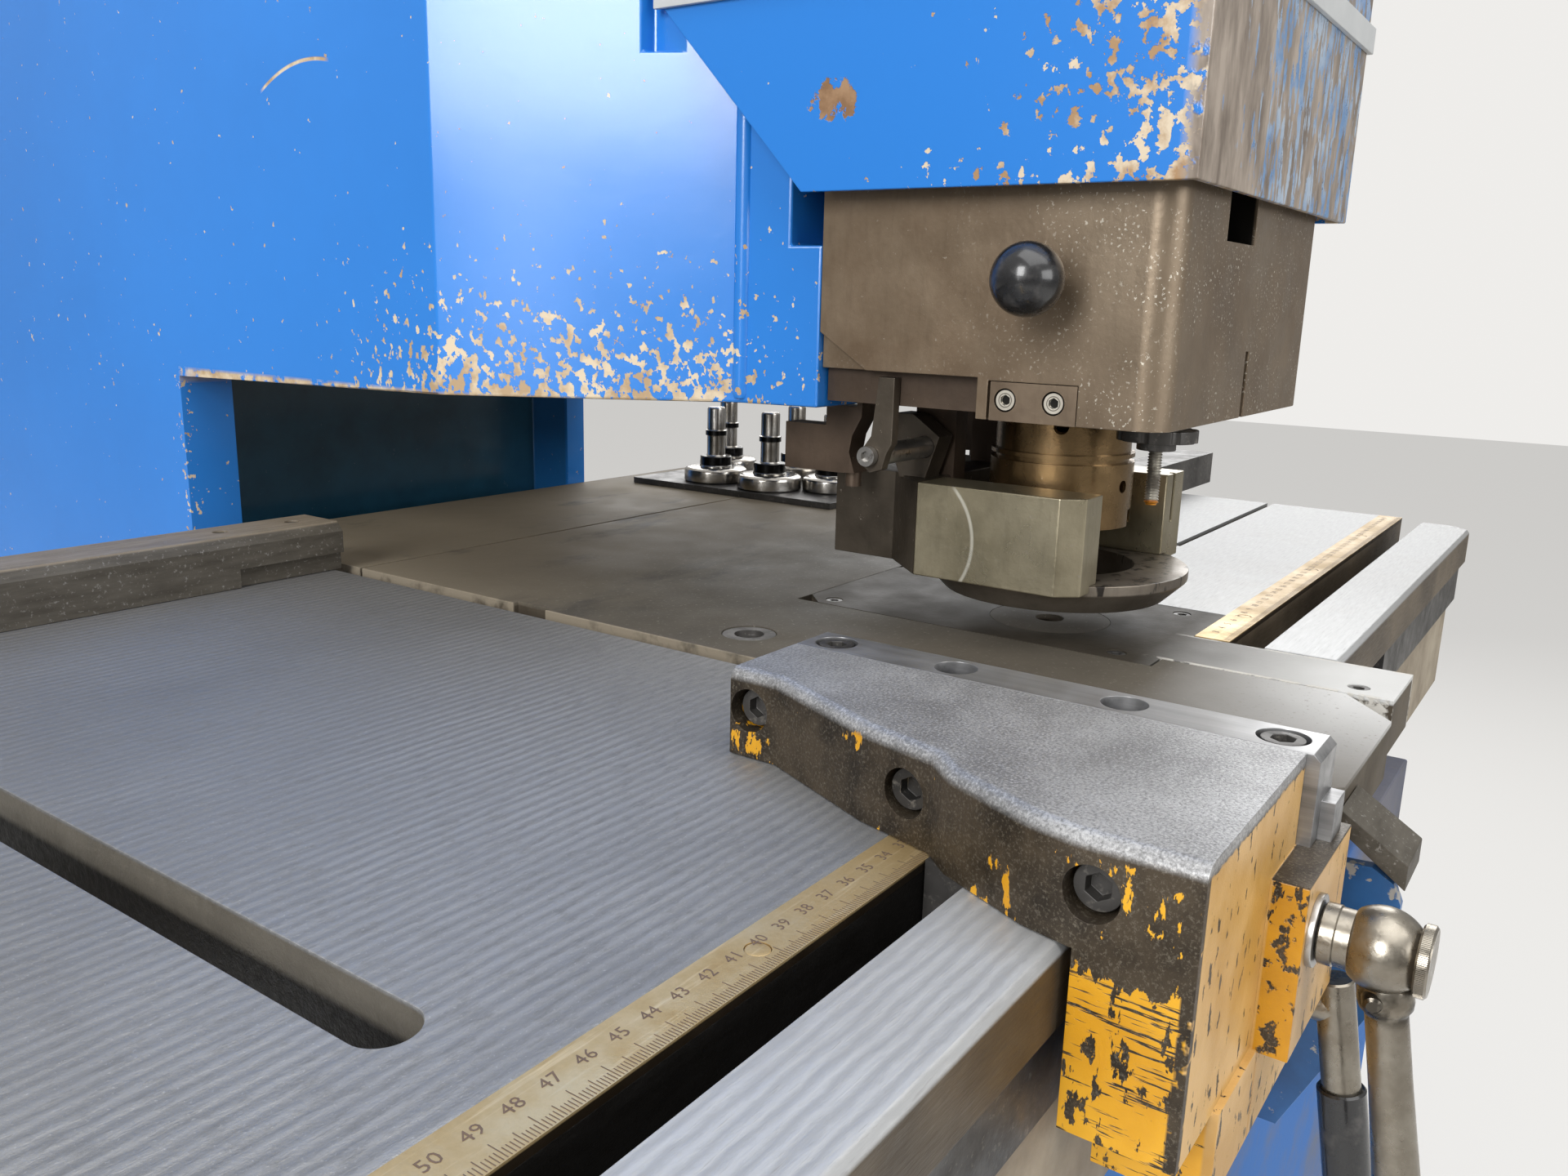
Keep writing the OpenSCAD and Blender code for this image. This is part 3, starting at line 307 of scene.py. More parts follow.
# Painted shade: the back of the throat gets no direct light, and its blue is coloured nearly black-blue to stand for
# that shade.
pocket = times(tree, inside(tree, along, throat_y + 0.0015, throat_y + 0.067, 0.001),
    remap(tree, apart(tree, across, 0.007), 0.146, 0.144), from_table(tree, high, 0.106, 0.104))
throat_shade = two_tone(tree, spot, 14, 0.35, 0.65, (0.013, 0.060, 0.105), (0.020, 0.100, 0.170), 5)
drive(shader, "Base Color", blend(tree, pocket, coloured, throat_shade))
drive(shader, "Roughness", remap(tree, bare, 0, 1, 0.27, 0.7))
peel = plus(tree, clouds(tree, spot, 26, 3), times(tree, clouds(tree, spot, 190, 2), 0.15))
relief(tree, shader, less(tree, times(tree, peel, 1.2), bare), 0.0004, 0.5)
wear_it(frame_enamel, "c_frame", "rear_door")


# Weld seams down the two corners where the tapered flanks meet the nose of the arm,
# ground round and painted over, and the welded shell with its edges eased.
def at(x, y, z):
    return Vector((x, y, z + 900)) / 1000


def finished(bm, name, body, mat, crease=32):
    mesh = bpy.data.meshes.new(name)
    for face in bm.faces:
        face.smooth = True
    for edge in bm.edges:
        if edge.is_manifold and edge.calc_face_angle() > math.radians(crease):
            edge.smooth = False
    bm.to_mesh(mesh)
    bm.free()
    piece = bpy.data.objects.new(name, mesh)
    bpy.context.scene.collection.objects.link(piece)
    mesh.materials.append(mat)
    flats = piece.modifiers.new("flats", "WEIGHTED_NORMAL")
    flats.keep_sharp = True
    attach(piece, body)
    return piece


def solid_of(node):
    bm = bmesh.new()
    bm.from_mesh(nodes[node].data)
    bmesh.ops.remove_doubles(bm, verts=bm.verts, dist=2e-6)
    bmesh.ops.dissolve_limit(bm, angle_limit=math.radians(0.5), use_dissolve_boundaries=False,
        verts=bm.verts, edges=bm.edges)
    return bm


def ease(bm, edges, width, segments=2, tight=True):
    bmesh.ops.bevel(bm, geom=edges, offset=width / 1000, offset_type="OFFSET", segments=segments,
        profile=0.5, affect="EDGES", clamp_overlap=tight, material=-1)


def lathe(bm, place, aim, profile, steps=48):
    turn = Vector((0, 0, 1)).rotation_difference(Vector(aim)).to_matrix().to_4x4()
    dots = [bm.verts.new((r / 1000, 0, h / 1000)) for r, h in profile]
    lines = [bm.edges.new(pair) for pair in zip(dots, dots[1:])]
    bmesh.ops.spin(bm, geom=dots + lines, cent=(0, 0, 0), axis=(0, 0, 1), dvec=(0, 0, 0),
        angle=2 * math.pi, steps=steps, use_merge=True, use_duplicate=False)
    fresh = [v for v in bm.verts if v.is_valid and not v.tag]
    bmesh.ops.transform(bm, matrix=Matrix.Translation(place) @ turn, verts=fresh)
    for v in fresh:
        v.tag = True
    bmesh.ops.remove_doubles(bm, verts=bm.verts, dist=1e-6)
    bmesh.ops.recalc_face_normals(bm, faces=bm.faces)


seam_x, seam_y, seam_foot, seam_long, seam_r = 104.4, 119, 107, 448, 4.4
for side in (-1, 1):
    bm = bmesh.new()
    lathe(bm, at(side * seam_x, seam_y, seam_foot), (0, 0, 1), [(0, 0), (seam_r - 0.8, 0.6), (seam_r, 3),
        (seam_r, seam_long - 4), (seam_r - 0.8, seam_long - 1), (0, seam_long)], 32)
    finished(bm, "corner_seam_%s" % ("left" if side < 0 else "right"), "frame", frame_enamel)

bm = solid_of("c_frame")
ease(bm, [edge for edge in bm.edges if edge.is_manifold and edge.calc_face_angle() > math.radians(20)
    and not all(abs(v.co.y - 0.492) < 0.0002 and v.co.z < 1.01 for v in edge.verts)], 1.2)
shell = finished(bm, "c_frame_edged", "frame", frame_enamel, 21)
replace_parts(shell, "c_frame")

# Below the table the front and the ledges of the frame are duller: dust and oil lie on
# the blue, and on the right it is rubbed down to brown primer.
ledge_enamel, tree, shader = new_finish("ledge_enamel", (0.012, 0.13, 0.42), 0.75)
spot = position(tree)
high = axis_of(tree, "Z")
dusty = times(tree, mottle(tree, spot, 11, 0.50, 0.72, 6, 0.65), from_table(tree, high, -0.50, -0.10, 0.35, 1.0))
dulled = blend(tree, dusty, (0.012, 0.115, 0.38), (0.13, 0.12, 0.10))
primed = two_tone(tree, spot, 9, 0.35, 0.65, (0.085, 0.070, 0.050), (0.15, 0.125, 0.092), 5)
ragged = times(tree, clouds(tree, spot, 24, 4), 0.10)
on_right = times(tree, remap(tree, axis_of(tree, "X"), 0.00, 0.06),
    from_table(tree, plus(tree, high, ragged), -0.20, -0.06), 0.8)
drive(shader, "Base Color", blend(tree, on_right, dulled, primed))
relief(tree, shader, clouds(tree, spot, 300, 4), 0.0002, 0.7)
shell.data.materials.append(ledge_enamel)
for face in shell.data.polygons:
    if face.center.z < 0.86 and (face.normal.z > 0.9 or face.normal.y < -0.9):
        face.material_index = 1

# Angle brackets under both wings: welded from plate, once cream and now greasy brown,
# and bolted to the frame's front and flanks.
bracket_paint, tree, shader = new_finish("bracket_paint", (0.30, 0.25, 0.18), 0.6)
spot = position(tree)
grease = mottle(tree, spot, 16, 0.35, 0.68, 6, 0.65)
drive(shader, "Base Color", blend(tree, grease, (0.34, 0.29, 0.215), (0.15, 0.115, 0.075)))
relief(tree, shader, clouds(tree, spot, 240, 4), 0.0002, 0.6)
wear_it(bracket_paint, "left_brackets", "right_brackets")

# Bracket beside the levers, under the table's front: steel plate in dark blue enamel,
# rubbed bare along its top edge.
def edged(node, body, mat, width, segments=2, crease=32):
    bm = solid_of(node)
    ease(bm, [edge for edge in bm.edges if edge.is_manifold and edge.calc_face_angle() > math.radians(crease)],
        width, segments)
    wear_it(mat, node)
    piece = finished(bm, node + "_edged", body, mat, 21 if crease < 25 else 32)
    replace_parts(piece, node)


navy_enamel, tree, shader = new_finish("navy_enamel", (0.012, 0.09, 0.26), 0.35)
spot = position(tree)
high = axis_of(tree, "Z")
rubbed = times(tree, from_table(tree, high, -0.0225, -0.0205), mottle(tree, spot, 130, 0.42, 0.50, 4))
rubbed = most(tree, rubbed, mottle(tree, spot, 110, 0.62, 0.65, 4))
tone = two_tone(tree, spot, 30, 0.35, 0.65, (0.010, 0.065, 0.19), (0.016, 0.115, 0.33))
drive(shader, "Base Color", blend(tree, rubbed, tone, (0.33, 0.32, 0.30)))
drive(shader, "Roughness", remap(tree, rubbed, 0, 1, 0.35, 0.5))
relief(tree, shader, rubbed, -0.0002, 0.7)
edged("lever_bracket", "frame", navy_enamel, 0.8)

# The sheet cover of the head: the same blue, worn through to primer and brown steel
# along its front edge and all over its front, where sheets and sleeves rub it.
cover_enamel, tree, shader = new_finish("cover_enamel", azure, 0.25, coat=0.3)
spot = position(tree)
across, along, high = (axis_of(tree, letter) for letter in "XYZ")
above = from_table(tree, high, 0.27, 0.42)
toward = times(tree, power(tree, remap(tree, along, 0.040, -0.092), 1.4), remap(tree, above, 0, 1, 1.0, 0.30))
low = times(tree, from_table(tree, high, 0.218, 0.199), 0.8)
need = remap(tree, most(tree, toward, times(tree, low, remap(tree, along, 0.06, -0.02))), 0, 1, 0.715, 0.465)
chipped = remap(tree, less(tree, clouds(tree, spot, 150, 4, 0.6), need), 0.0, 0.012)
oval = plus(tree, times(tree, power(tree, apart(tree, along, 0.061), 2.0), 4200.0),
    times(tree, power(tree, apart(tree, high, table_top + 0.234), 2.0), 5200.0))
patch = remap(tree, plus(tree, oval, times(tree, clouds(tree, spot, 75, 5, 0.7), 2.6)), 1.72, 1.66)
primer = two_tone(tree, spot, 90, 0.4, 0.6, (0.20, 0.105, 0.045), (0.32, 0.19, 0.10))
filler = two_tone(tree, spot, 60, 0.42, 0.58, (0.62, 0.52, 0.38), (0.34, 0.20, 0.09))
sides = blend(tree, chipped, azure, filler)
sides = blend(tree, patch, sides, primer)
# The front is worn all over, in upright streaks that hold more blue towards the top.
on_front = remap(tree, along, -0.0912, -0.0917)
edge = remap(tree, along, -0.084, -0.0885)
streak = clouds(tree, position(tree, (210, 210, 55), (0, 0.35, 0)), 1, 4, 0.6)
left_part = remap(tree, across, -0.085, -0.03, 0.16, 0.0)
kept = times(tree, above, 0.26)
flaked = remap(tree, plus(tree, less(tree, streak, left_part), kept), 0.50, 0.53)
steel = two_tone(tree, position(tree, (90, 90, 30)), 1, 0.35, 0.65, (0.13, 0.098, 0.072), (0.36, 0.30, 0.245), 4)
faded = two_tone(tree, spot, 40, 0.4, 0.6, (0.10, 0.22, 0.42), (0.34, 0.42, 0.52))
front = blend(tree, flaked, steel, blend(tree, above, faded, azure))
rubbed = times(tree, edge, remap(tree, less(tree, clouds(tree, spot, 160, 3), times(tree, above, 0.22)), 0.38, 0.50))
drive(shader, "Base Color", blend(tree, on_front, blend(tree, rubbed, sides, steel), front))
worn = most(tree, most(tree, chipped, patch), most(tree, rubbed,
    times(tree, on_front, less(tree, 1.0, flaked))))
drive(shader, "Roughness", remap(tree, worn, 0, 1, 0.25, 0.48))
relief(tree, shader, worn, -0.00025, 0.7)
edged("head_cover", "frame", cover_enamel, 0.7)

# Trim strip of the cover and the switch box on the right flank: light grey stoved
# enamel on folded sheet, the box with rounded corners.
grey_paint, tree, shader = new_finish("grey_paint", (0.45, 0.46, 0.47), 0.4)
drive(shader, "Base Color", blend(tree, clouds(tree, position(tree), 40), (0.40, 0.42, 0.43), (0.55, 0.56, 0.56)))
edged("cover_trim", "frame", grey_paint, 0.5)
edged("switch_box", "frame", grey_paint, 2.5, 3)

# Left wing of the table: planed steel gone grey, with the planer's grooves about 5 mm
# apart along the machine's width, ragged, dusty and stained, and a slot with dull walls
# that turn near black deeper down as painted shade.
def planer_marks(tree, squeeze, scale, bend, finer):
    waves = tree.nodes.new("ShaderNodeTexWave")
    waves.bands_direction = "Y"
    for socket, value in (("Scale", scale), ("Distortion", bend), ("Detail", 5), ("Detail Scale", finer),
            ("Detail Roughness", 0.7)):
        waves.inputs[socket].default_value = value
    tree.links.new(position(tree, (squeeze, 1, 1)), waves.inputs["Vector"])
    return waves.outputs["Fac"]


ribbed_steel, tree, shader = new_finish("ribbed_steel", (0.24, 0.245, 0.25), 0.52, metal=0.45)
spot = position(tree)
along, high = (axis_of(tree, letter) for letter in "YZ")
crumbs = clouds(tree, spot, 900, 4, 0.7)
dents = clouds(tree, position(tree, (110, 330, 330)), 1, 4, 0.7)
stain = mottle(tree, spot, 6, 0.42, 0.70, 5)
worn_flat = remap(tree, clouds(tree, spot, 9, 4), 0.40, 0.62, 0.35, 1.0)
rear = remap(tree, along, -0.02, 0.34)
groove = times(tree, planer_marks(tree, 0.30, 63.0, 2.6, 2.2), worn_flat)
light = blend(tree, groove, (0.245, 0.246, 0.247), (0.325, 0.326, 0.327))
light = blend(tree, remap(tree, dents, 0.50, 0.72), light, (0.185, 0.188, 0.192))
dull = blend(tree, times(tree, stain, 0.55), light, (0.15, 0.152, 0.155))
brown = blend(tree, times(tree, rear, 0.62), dull, (0.125, 0.117, 0.108))
bright = blend(tree, remap(tree, crumbs, 0.60, 0.80), brown, (0.50, 0.50, 0.50))
on_top = from_table(tree, high, -0.0012, -0.0005)
wall = blend(tree, clouds(tree, spot, 60), (0.110, 0.098, 0.078), (0.220, 0.200, 0.165))
# Painted shade: deep in the slot the walls are coloured near black; the faces at the wing's front edge get the same
# near black.
painted_shade_black = most(tree, from_table(tree, high, -0.0088, -0.0112), remap(tree, along, -0.0835, -0.0850))
wall = blend(tree, painted_shade_black, wall, (0.008, 0.007, 0.006))
drive(shader, "Base Color", blend(tree, on_top, wall, bright))
drive(shader, "Roughness", remap(tree, dents, 0.3, 0.75, 0.40, 0.62))
height = plus(tree, times(tree, groove, on_top), plus(tree, times(tree, crumbs, 0.5), times(tree, dents, 0.9)))
relief(tree, shader, height, 0.00036, 0.85)
edged("left_wing", "frame", ribbed_steel, 0.5)

# Rails and right wing: the same planed steel rubbed bright, finely streaked along its
# length. The front faces below the table's edge are coloured dark brown, partly for oil
# and partly as painted shade.
rail_steel, tree, shader = new_finish("rail_steel", (0.50, 0.51, 0.52), 0.48, metal=0.4)
spot = position(tree)
across, high = (axis_of(tree, letter) for letter in "XZ")
streak = clouds(tree, position(tree, (14, 420, 420)), 1, 5, 0.65)
fine = clouds(tree, position(tree, (90, 1100, 1100)), 1, 3, 0.6)
ribs = times(tree, planer_marks(tree, 0.35, 70.0, 3.2, 2.4), remap(tree, across, -0.10, 0.0, 1.0, 0.1))
crests = plus(tree, times(tree, ribs, 0.65), times(tree, streak, 0.5))
tone = blend(tree, crests, (0.33, 0.335, 0.34), (0.50, 0.505, 0.505))
worn = blend(tree, mottle(tree, spot, 12, 0.48, 0.72, 5), tone, (0.36, 0.355, 0.345))
worn = blend(tree, remap(tree, fine, 0.62, 0.85), worn, (0.24, 0.235, 0.23))
# Oil and painted shade: the faces below the top are coloured dark brown.
oil_and_shade = two_tone(tree, spot, 18, 0.35, 0.65, (0.055, 0.040, 0.024), (0.135, 0.104, 0.068), 5)
worn = blend(tree, remap(tree, across, 0.02, 0.20, 0.0, 0.7), worn, (0.225, 0.225, 0.22))
on_top = from_table(tree, high, -0.0030, -0.0018)
drive(shader, "Base Color", blend(tree, on_top, oil_and_shade, worn))
drive(shader, "Roughness", remap(tree, fine, 0.3, 0.7, 0.42, 0.56))
relief(tree, shader, plus(tree, ribs, plus(tree, streak, fine)), 0.00013, 0.7)
for name in ("left_rail", "right_rail", "right_wing"):
    edged(name, "frame", rail_steel, 0.5)

# Centre plate, rear plate and die insert: smoother steel, tanned by oil, bare and
# bright at the front where sheets and hands slide over it.
def gloss(tree, shader, vector, scale, detail, low, high):
    drive(shader, "Roughness", remap(tree, clouds(tree, vector, scale, detail), 0.3, 0.7, low, high))


oiled_steel, tree, shader = new_finish("oiled_steel", (0.12, 0.10, 0.075), 0.62)
shader.inputs["Specular IOR Level"].default_value = 0.10
spot = position(tree)
across, along, high = (axis_of(tree, letter) for letter in "XYZ")
swirl = mottle(tree, spot, 7, 0.32, 0.68, 6, 0.62)
tone = blend(tree, swirl, (0.070, 0.062, 0.050), (0.125, 0.108, 0.085))
tone = blend(tree, remap(tree, along, 0.16, 0.42), tone, (0.215, 0.180, 0.128))
handled = times(tree, remap(tree, along, -0.075, -0.150), remap(tree, across, -0.16, -0.03))
tone = blend(tree, handled, tone, (0.56, 0.56, 0.555))
stain = times(tree, mottle(tree, position(tree, (1, 2, 1)), 9, 0.56, 0.70, 5, 0.65), remap(tree, along, 0.05, 0.2))
tone = blend(tree, times(tree, stain, 0.8), tone, (0.045, 0.042, 0.038))
grain = clouds(tree, spot, 420, 3)
tone = blend(tree, remap(tree, grain, 0.60, 0.78), tone, (0.20, 0.185, 0.160))
nosing = times(tree, remap(tree, across, -0.1538, -0.1546), mottle(tree, spot, 70, 0.30, 0.50, 4))
edge = two_tone(tree, spot, 20, 0.35, 0.65, (0.050, 0.040, 0.029), (0.105, 0.088, 0.066), 4)
tone = blend(tree, from_table(tree, high, -0.0012, -0.0022), tone, edge)
drive(shader, "Base Color", blend(tree, nosing, tone, (0.24, 0.205, 0.155)))
gloss(tree, shader, spot, 24, 4, 0.52, 0.68)
relief(tree, shader, plus(tree, grain, clouds(tree, position(tree, (20, 300, 300)), 1, 3)), 0.00010, 0.6)
for name in ("centre_plate", "back_plate", "die_insert"):
    edged(name, "frame", oiled_steel, 0.5)

# Die plate: the same steel, coloured much darker round the die as painted shade under
# the head and stripper, with bright nicks along both edges of its forward strip.
strip_left, strip_right = -0.0355, 0.0115
die_steel, tree, shader = new_finish("die_steel", (0.12, 0.11, 0.10), 0.58)
shader.inputs["Specular IOR Level"].default_value = 0.10
spot = position(tree)
across, along, high = (axis_of(tree, letter) for letter in "XYZ")
swirl = mottle(tree, spot, 11, 0.32, 0.68, 6, 0.62)
# Painted shade: the plate's base tone is near black-brown for the shade under the head; the forward strip is coloured
# light.
tone = blend(tree, swirl, (0.032, 0.027, 0.020), (0.064, 0.054, 0.042))
tone = blend(tree, remap(tree, along, -0.060, -0.145), tone, (0.50, 0.50, 0.49))
edge = two_tone(tree, spot, 20, 0.35, 0.65, (0.050, 0.040, 0.029), (0.105, 0.088, 0.066), 4)
tone = blend(tree, from_table(tree, high, -0.0012, -0.0022), tone, edge)
from_edge = least(tree, apart(tree, across, strip_left), apart(tree, across, strip_right))
rim = remap(tree, from_edge, 0.0005, 0.0022, 1.0, 0.0)
nicks = times(tree, rim, remap(tree, along, -0.060, -0.075), mottle(tree, spot, 95, 0.44, 0.50, 4, 0.6))
drive(shader, "Base Color", blend(tree, nicks, tone, (0.50, 0.48, 0.44)))
gloss(tree, shader, spot, 40, 4, 0.48, 0.64)
relief(tree, shader, plus(tree, clouds(tree, spot, 420, 3), times(tree, nicks, -3.0)), 0.00015, 0.7)
edged("die_plate", "frame", die_steel, 0.5)

# Brass scales let into the front ledge of the wings, with millimetre marks and a
# number at every centimetre cut in and filled with black, and small flush screws.
scale_brass, tree, shader = new_finish("scale_brass", (0.40, 0.28, 0.12), 0.42, metal=0.75)
spot = position(tree)
tarnish = mottle(tree, spot, 55, 0.35, 0.68, 5, 0.6)
rub = clouds(tree, position(tree, (30, 500, 500)), 1, 3)
tone = blend(tree, tarnish, (0.72, 0.54, 0.28), (0.44, 0.31, 0.14))
tone = blend(tree, remap(tree, rub, 0.55, 0.75), tone, (0.78, 0.62, 0.36))
tone = blend(tree, remap(tree, axis_of(tree, "X"), 0.0, 0.1, 0.0, 0.9), tone, (0.24, 0.165, 0.070))
high = axis_of(tree, "Z")
drive(shader, "Base Color", blend(tree, from_table(tree, high, -0.0004, -0.0008), tone, (0.035, 0.024, 0.014)))
drive(shader, "Roughness", remap(tree, tarnish, 0, 1, 0.36, 0.55))
relief(tree, shader, clouds(tree, spot, 500, 3), 0.0001, 0.7)
wear_it(scale_brass, "left_scale", "right_scale")

scale_mid, scale_front = -77.25, -85.2
bm = bmesh.new()
for x in (-653, -503, -353, -203, 70, 220, 370):
    lathe(bm, at(x, scale_mid, -1.5), (0, 0, 1), [(0, 0), (3.3, 0), (3.3, 1.2), (2.9, 1.45), (0, 1.5)], 24)
finished(bm, "scale_screws", "frame", scale_brass)

mark_black, tree, shader = new_finish("mark_black", (0.03, 0.022, 0.015), 0.6)
drive(shader, "Base Color", blend(tree, clouds(tree, position(tree), 300), (0.055, 0.035, 0.030), (0.19, 0.13, 0.085)))


def cut_marks(name, first, last, numbers):
    bm = bmesh.new()
    for step in range(first, last + 1):
        length = 5.6 if step % 10 == 0 else 4.4 if step % 5 == 0 else 3.0
        flat = Matrix.Diagonal((0.00024, length / 1000, 1, 1))
        flat = Matrix.Translation(at(step, scale_front + length / 2, 0.06)) @ flat
        bmesh.ops.create_grid(bm, x_segments=1, y_segments=1, size=0.5, matrix=flat)
    for x, number in numbers:
        curve = bpy.data.curves.new("digits", "FONT")
        curve.body = str(number)
        curve.size = 0.0052
        curve.space_character = 1.05
        curve.align_x = "CENTER"
        curve.align_y = "CENTER"
        curve.resolution_u = 2
        word = bpy.data.objects.new("digits", curve)
        cut = word.to_mesh()
        cut.transform(Matrix.Translation(at(x, -75.0, 0.06)))
        bm.from_mesh(cut)
        word.to_mesh_clear()
        bpy.data.objects.remove(word)
        bpy.data.curves.remove(curve)
    bmesh.ops.recalc_face_normals(bm, faces=bm.faces)
    for face in bm.faces:
        if face.normal.z < 0:
            face.normal_flip()
    mesh = bpy.data.meshes.new(name)
    bm.to_mesh(mesh)
    bm.free()
    piece = bpy.data.objects.new(name, mesh)
    bpy.context.scene.collection.objects.link(piece)
    mesh.materials.append(mark_black)
    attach(piece, "frame")


cut_marks("left_marks", -748, -169, [(52 - 10 * n - 1.6, n) for n in range(23, 80)])
cut_marks("right_marks", 16, 480, [(10 * n - 1.6, n) for n in range(3, 48)])

# Plates, screws and beams that were blackened rather than painted: dark, oily steel
# with dust in the hollows and rubbed high spots.
dark_steel, tree, shader = new_finish("dark_steel", (0.05, 0.05, 0.05), 0.45, metal=0.5)
spot = position(tree)
tone = two_tone(tree, spot, 22, 0.35, 0.65, (0.032, 0.030, 0.028), (0.095, 0.090, 0.085), 5)
dust = mottle(tree, spot, 300, 0.58, 0.75, 3, 0.7)
drive(shader, "Base Color", blend(tree, times(tree, dust, 0.6), tone, (0.26, 0.24, 0.21)))
gloss(tree, shader, spot, 60, 4, 0.32, 0.6)
relief(tree, shader, clouds(tree, spot, 260, 4), 0.0002, 0.7)
wear_it(dark_steel, "die_bolster", "table_packers", "left_beam", "right_beam", "right_fence", "fence_clamp",
    "slot_key", "door_hinges")
edged("table_screws", "frame", dark_steel, 0.3)
edged("hand_nut", "adjusting_nut", dark_steel, 0.6)
edged("tool_tray", "frame", dark_steel, 0.6)
edged("gauge_screws", "gauge", dark_steel, 0.4)

# Fence bar and the strap beside the levers: flat steel bar, planed bright on top and
# brown on its sides. The fence is clamped in the slot of the left wing.
fence_steel, tree, shader = new_finish("fence_steel", (0.10, 0.10, 0.09), 0.5, metal=0.1)
shader.inputs["Specular IOR Level"].default_value = 0.10
high = axis_of(tree, "Z")
spot = position(tree)
pull = clouds(tree, position(tree, (40, 240, 240)), 1, 5, 0.6)
tone = blend(tree, remap(tree, pull, 0.3, 0.7), (0.060, 0.053, 0.043), (0.100, 0.090, 0.074))
planed = blend(tree, remap(tree, pull, 0.3, 0.7), (0.150, 0.122, 0.088), (0.235, 0.198, 0.152))
tone = blend(tree, from_table(tree, high, 0.0258, 0.0266), tone, planed)
drive(shader, "Base Color", blend(tree, mottle(tree, spot, 600, 0.6, 0.78, 3), tone, (0.24, 0.23, 0.21)))
gloss(tree, shader, spot, 30, 4, 0.44, 0.60)
relief(tree, shader, pull, 0.00015, 0.7)
edged("fence_bar", "fence", fence_steel, 0.7)
edged("bracket_strap", "frame", fence_steel, 0.5)

# Floor plate and hydraulic cylinder: thick plate under the frame and a turned tube
# over the ram, both in dark machine enamel, thin and scuffed.
dark_enamel, tree, shader = new_finish("dark_enamel", (0.03, 0.04, 0.05), 0.38, coat=0.2)
spot = position(tree)
scuffs = mottle(tree, spot, 90, 0.62, 0.66, 5, 0.65)
tone = two_tone(tree, spot, 5, 0.35, 0.65, (0.020, 0.026, 0.034), (0.040, 0.052, 0.066))
drive(shader, "Base Color", blend(tree, scuffs, tone, (0.16, 0.14, 0.12)))
drive(shader, "Roughness", remap(tree, scuffs, 0, 1, 0.34, 0.6))
relief(tree, shader, clouds(tree, spot, 140, 3), 0.0002, 0.6)
wear_it(dark_enamel, "floor_plate", "hydraulic_cylinder")

# Oil tank and motor behind the rear door: a folded sheet tank with the motor standing
# on it, in dark blue enamel with a few chips.
tank_enamel, tree, shader = new_finish("tank_enamel", (0.02, 0.10, 0.22), 0.34, coat=0.3)
spot = position(tree)
tone = two_tone(tree, spot, 6, 0.35, 0.65, (0.015, 0.075, 0.18), (0.026, 0.12, 0.26))
drive(shader, "Base Color", blend(tree, mottle(tree, spot, 80, 0.63, 0.66, 5), tone, (0.30, 0.25, 0.19)))
relief(tree, shader, clouds(tree, spot, 40, 3), 0.0003, 0.6)
wear_it(tank_enamel, "oil_tank", "pump_motor")

# Head housing: machined from steel and brown with old oil, with a satin sheen, light
# specks near its corner that are partly bare steel and partly painted glints, and a notch
# high in its front drawn only as a painted dark patch of shade.
def tanned(name, dark, light, rough, metal, specks):
    mat, tree, shader = new_finish(name, dark, rough, metal)
    spot = position(tree)
    film = mottle(tree, spot, 16, 0.32, 0.68, 6, 0.62)
    tone = blend(tree, film, dark, light)
    streak = clouds(tree, position(tree, (260, 260, 40)), 1, 4)
    tone = blend(tree, times(tree, remap(tree, streak, 0.52, 0.72), 0.18), tone, tuple(0.55 * v for v in dark))
    tone = blend(tree, mottle(tree, spot, 330, specks, specks + 0.1, 4, 0.7), tone,
        (0.42, 0.37, 0.30))
    drive(shader, "Roughness", remap(tree, clouds(tree, spot, 45, 4), 0.3, 0.7, rough - 0.07, rough + 0.12))
    relief(tree, shader, plus(tree, clouds(tree, spot, 380, 3), times(tree, streak, 0.4)), 0.00014, 0.7)
    return mat, tree, shader, tone


head_steel, tree, shader, tone = tanned("head_steel", (0.150, 0.103, 0.063), (0.265, 0.204, 0.140), 0.38, 0.55, 0.66)
across, along, high = (axis_of(tree, letter) for letter in "XYZ")
spot = position(tree)
tone = blend(tree, times(tree, remap(tree, along, 0.01, -0.06), 0.35), tone, (0.150, 0.118, 0.084))
near_corner = most(tree, remap(tree, along, 0.02, -0.075), from_table(tree, high, 0.135, 0.095, 0.0, 0.8))
# Light specks near the front corner: partly bare steel, partly painted glints standing for the corner's speckled
# highlights.
specks_and_glints = mottle(tree, spot, 640, 0.615, 0.65, 3, 0.6)
specks_and_glints = times(tree, specks_and_glints, near_corner, mottle(tree, spot, 38, 0.42, 0.56, 3))
tone = blend(tree, specks_and_glints, tone, (0.55, 0.51, 0.43))
front_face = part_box("head_housing")[0][1]
# Painted shade: the notch is not cut; a near-black patch high in the front stands for it.
painted_notch_shade = times(tree, inside(tree, across, -0.0486, -0.0074, 0.0002), from_table(tree, high, 0.1804, 0.1808),
    inside(tree, along, front_face + 0.0012, front_face + 0.03, 0.0004))
tone = blend(tree, painted_notch_shade, tone, (0.012, 0.010, 0.008))
drive(shader, "Base Color", tone)
edged("head_housing", "frame", head_steel, 0.8)

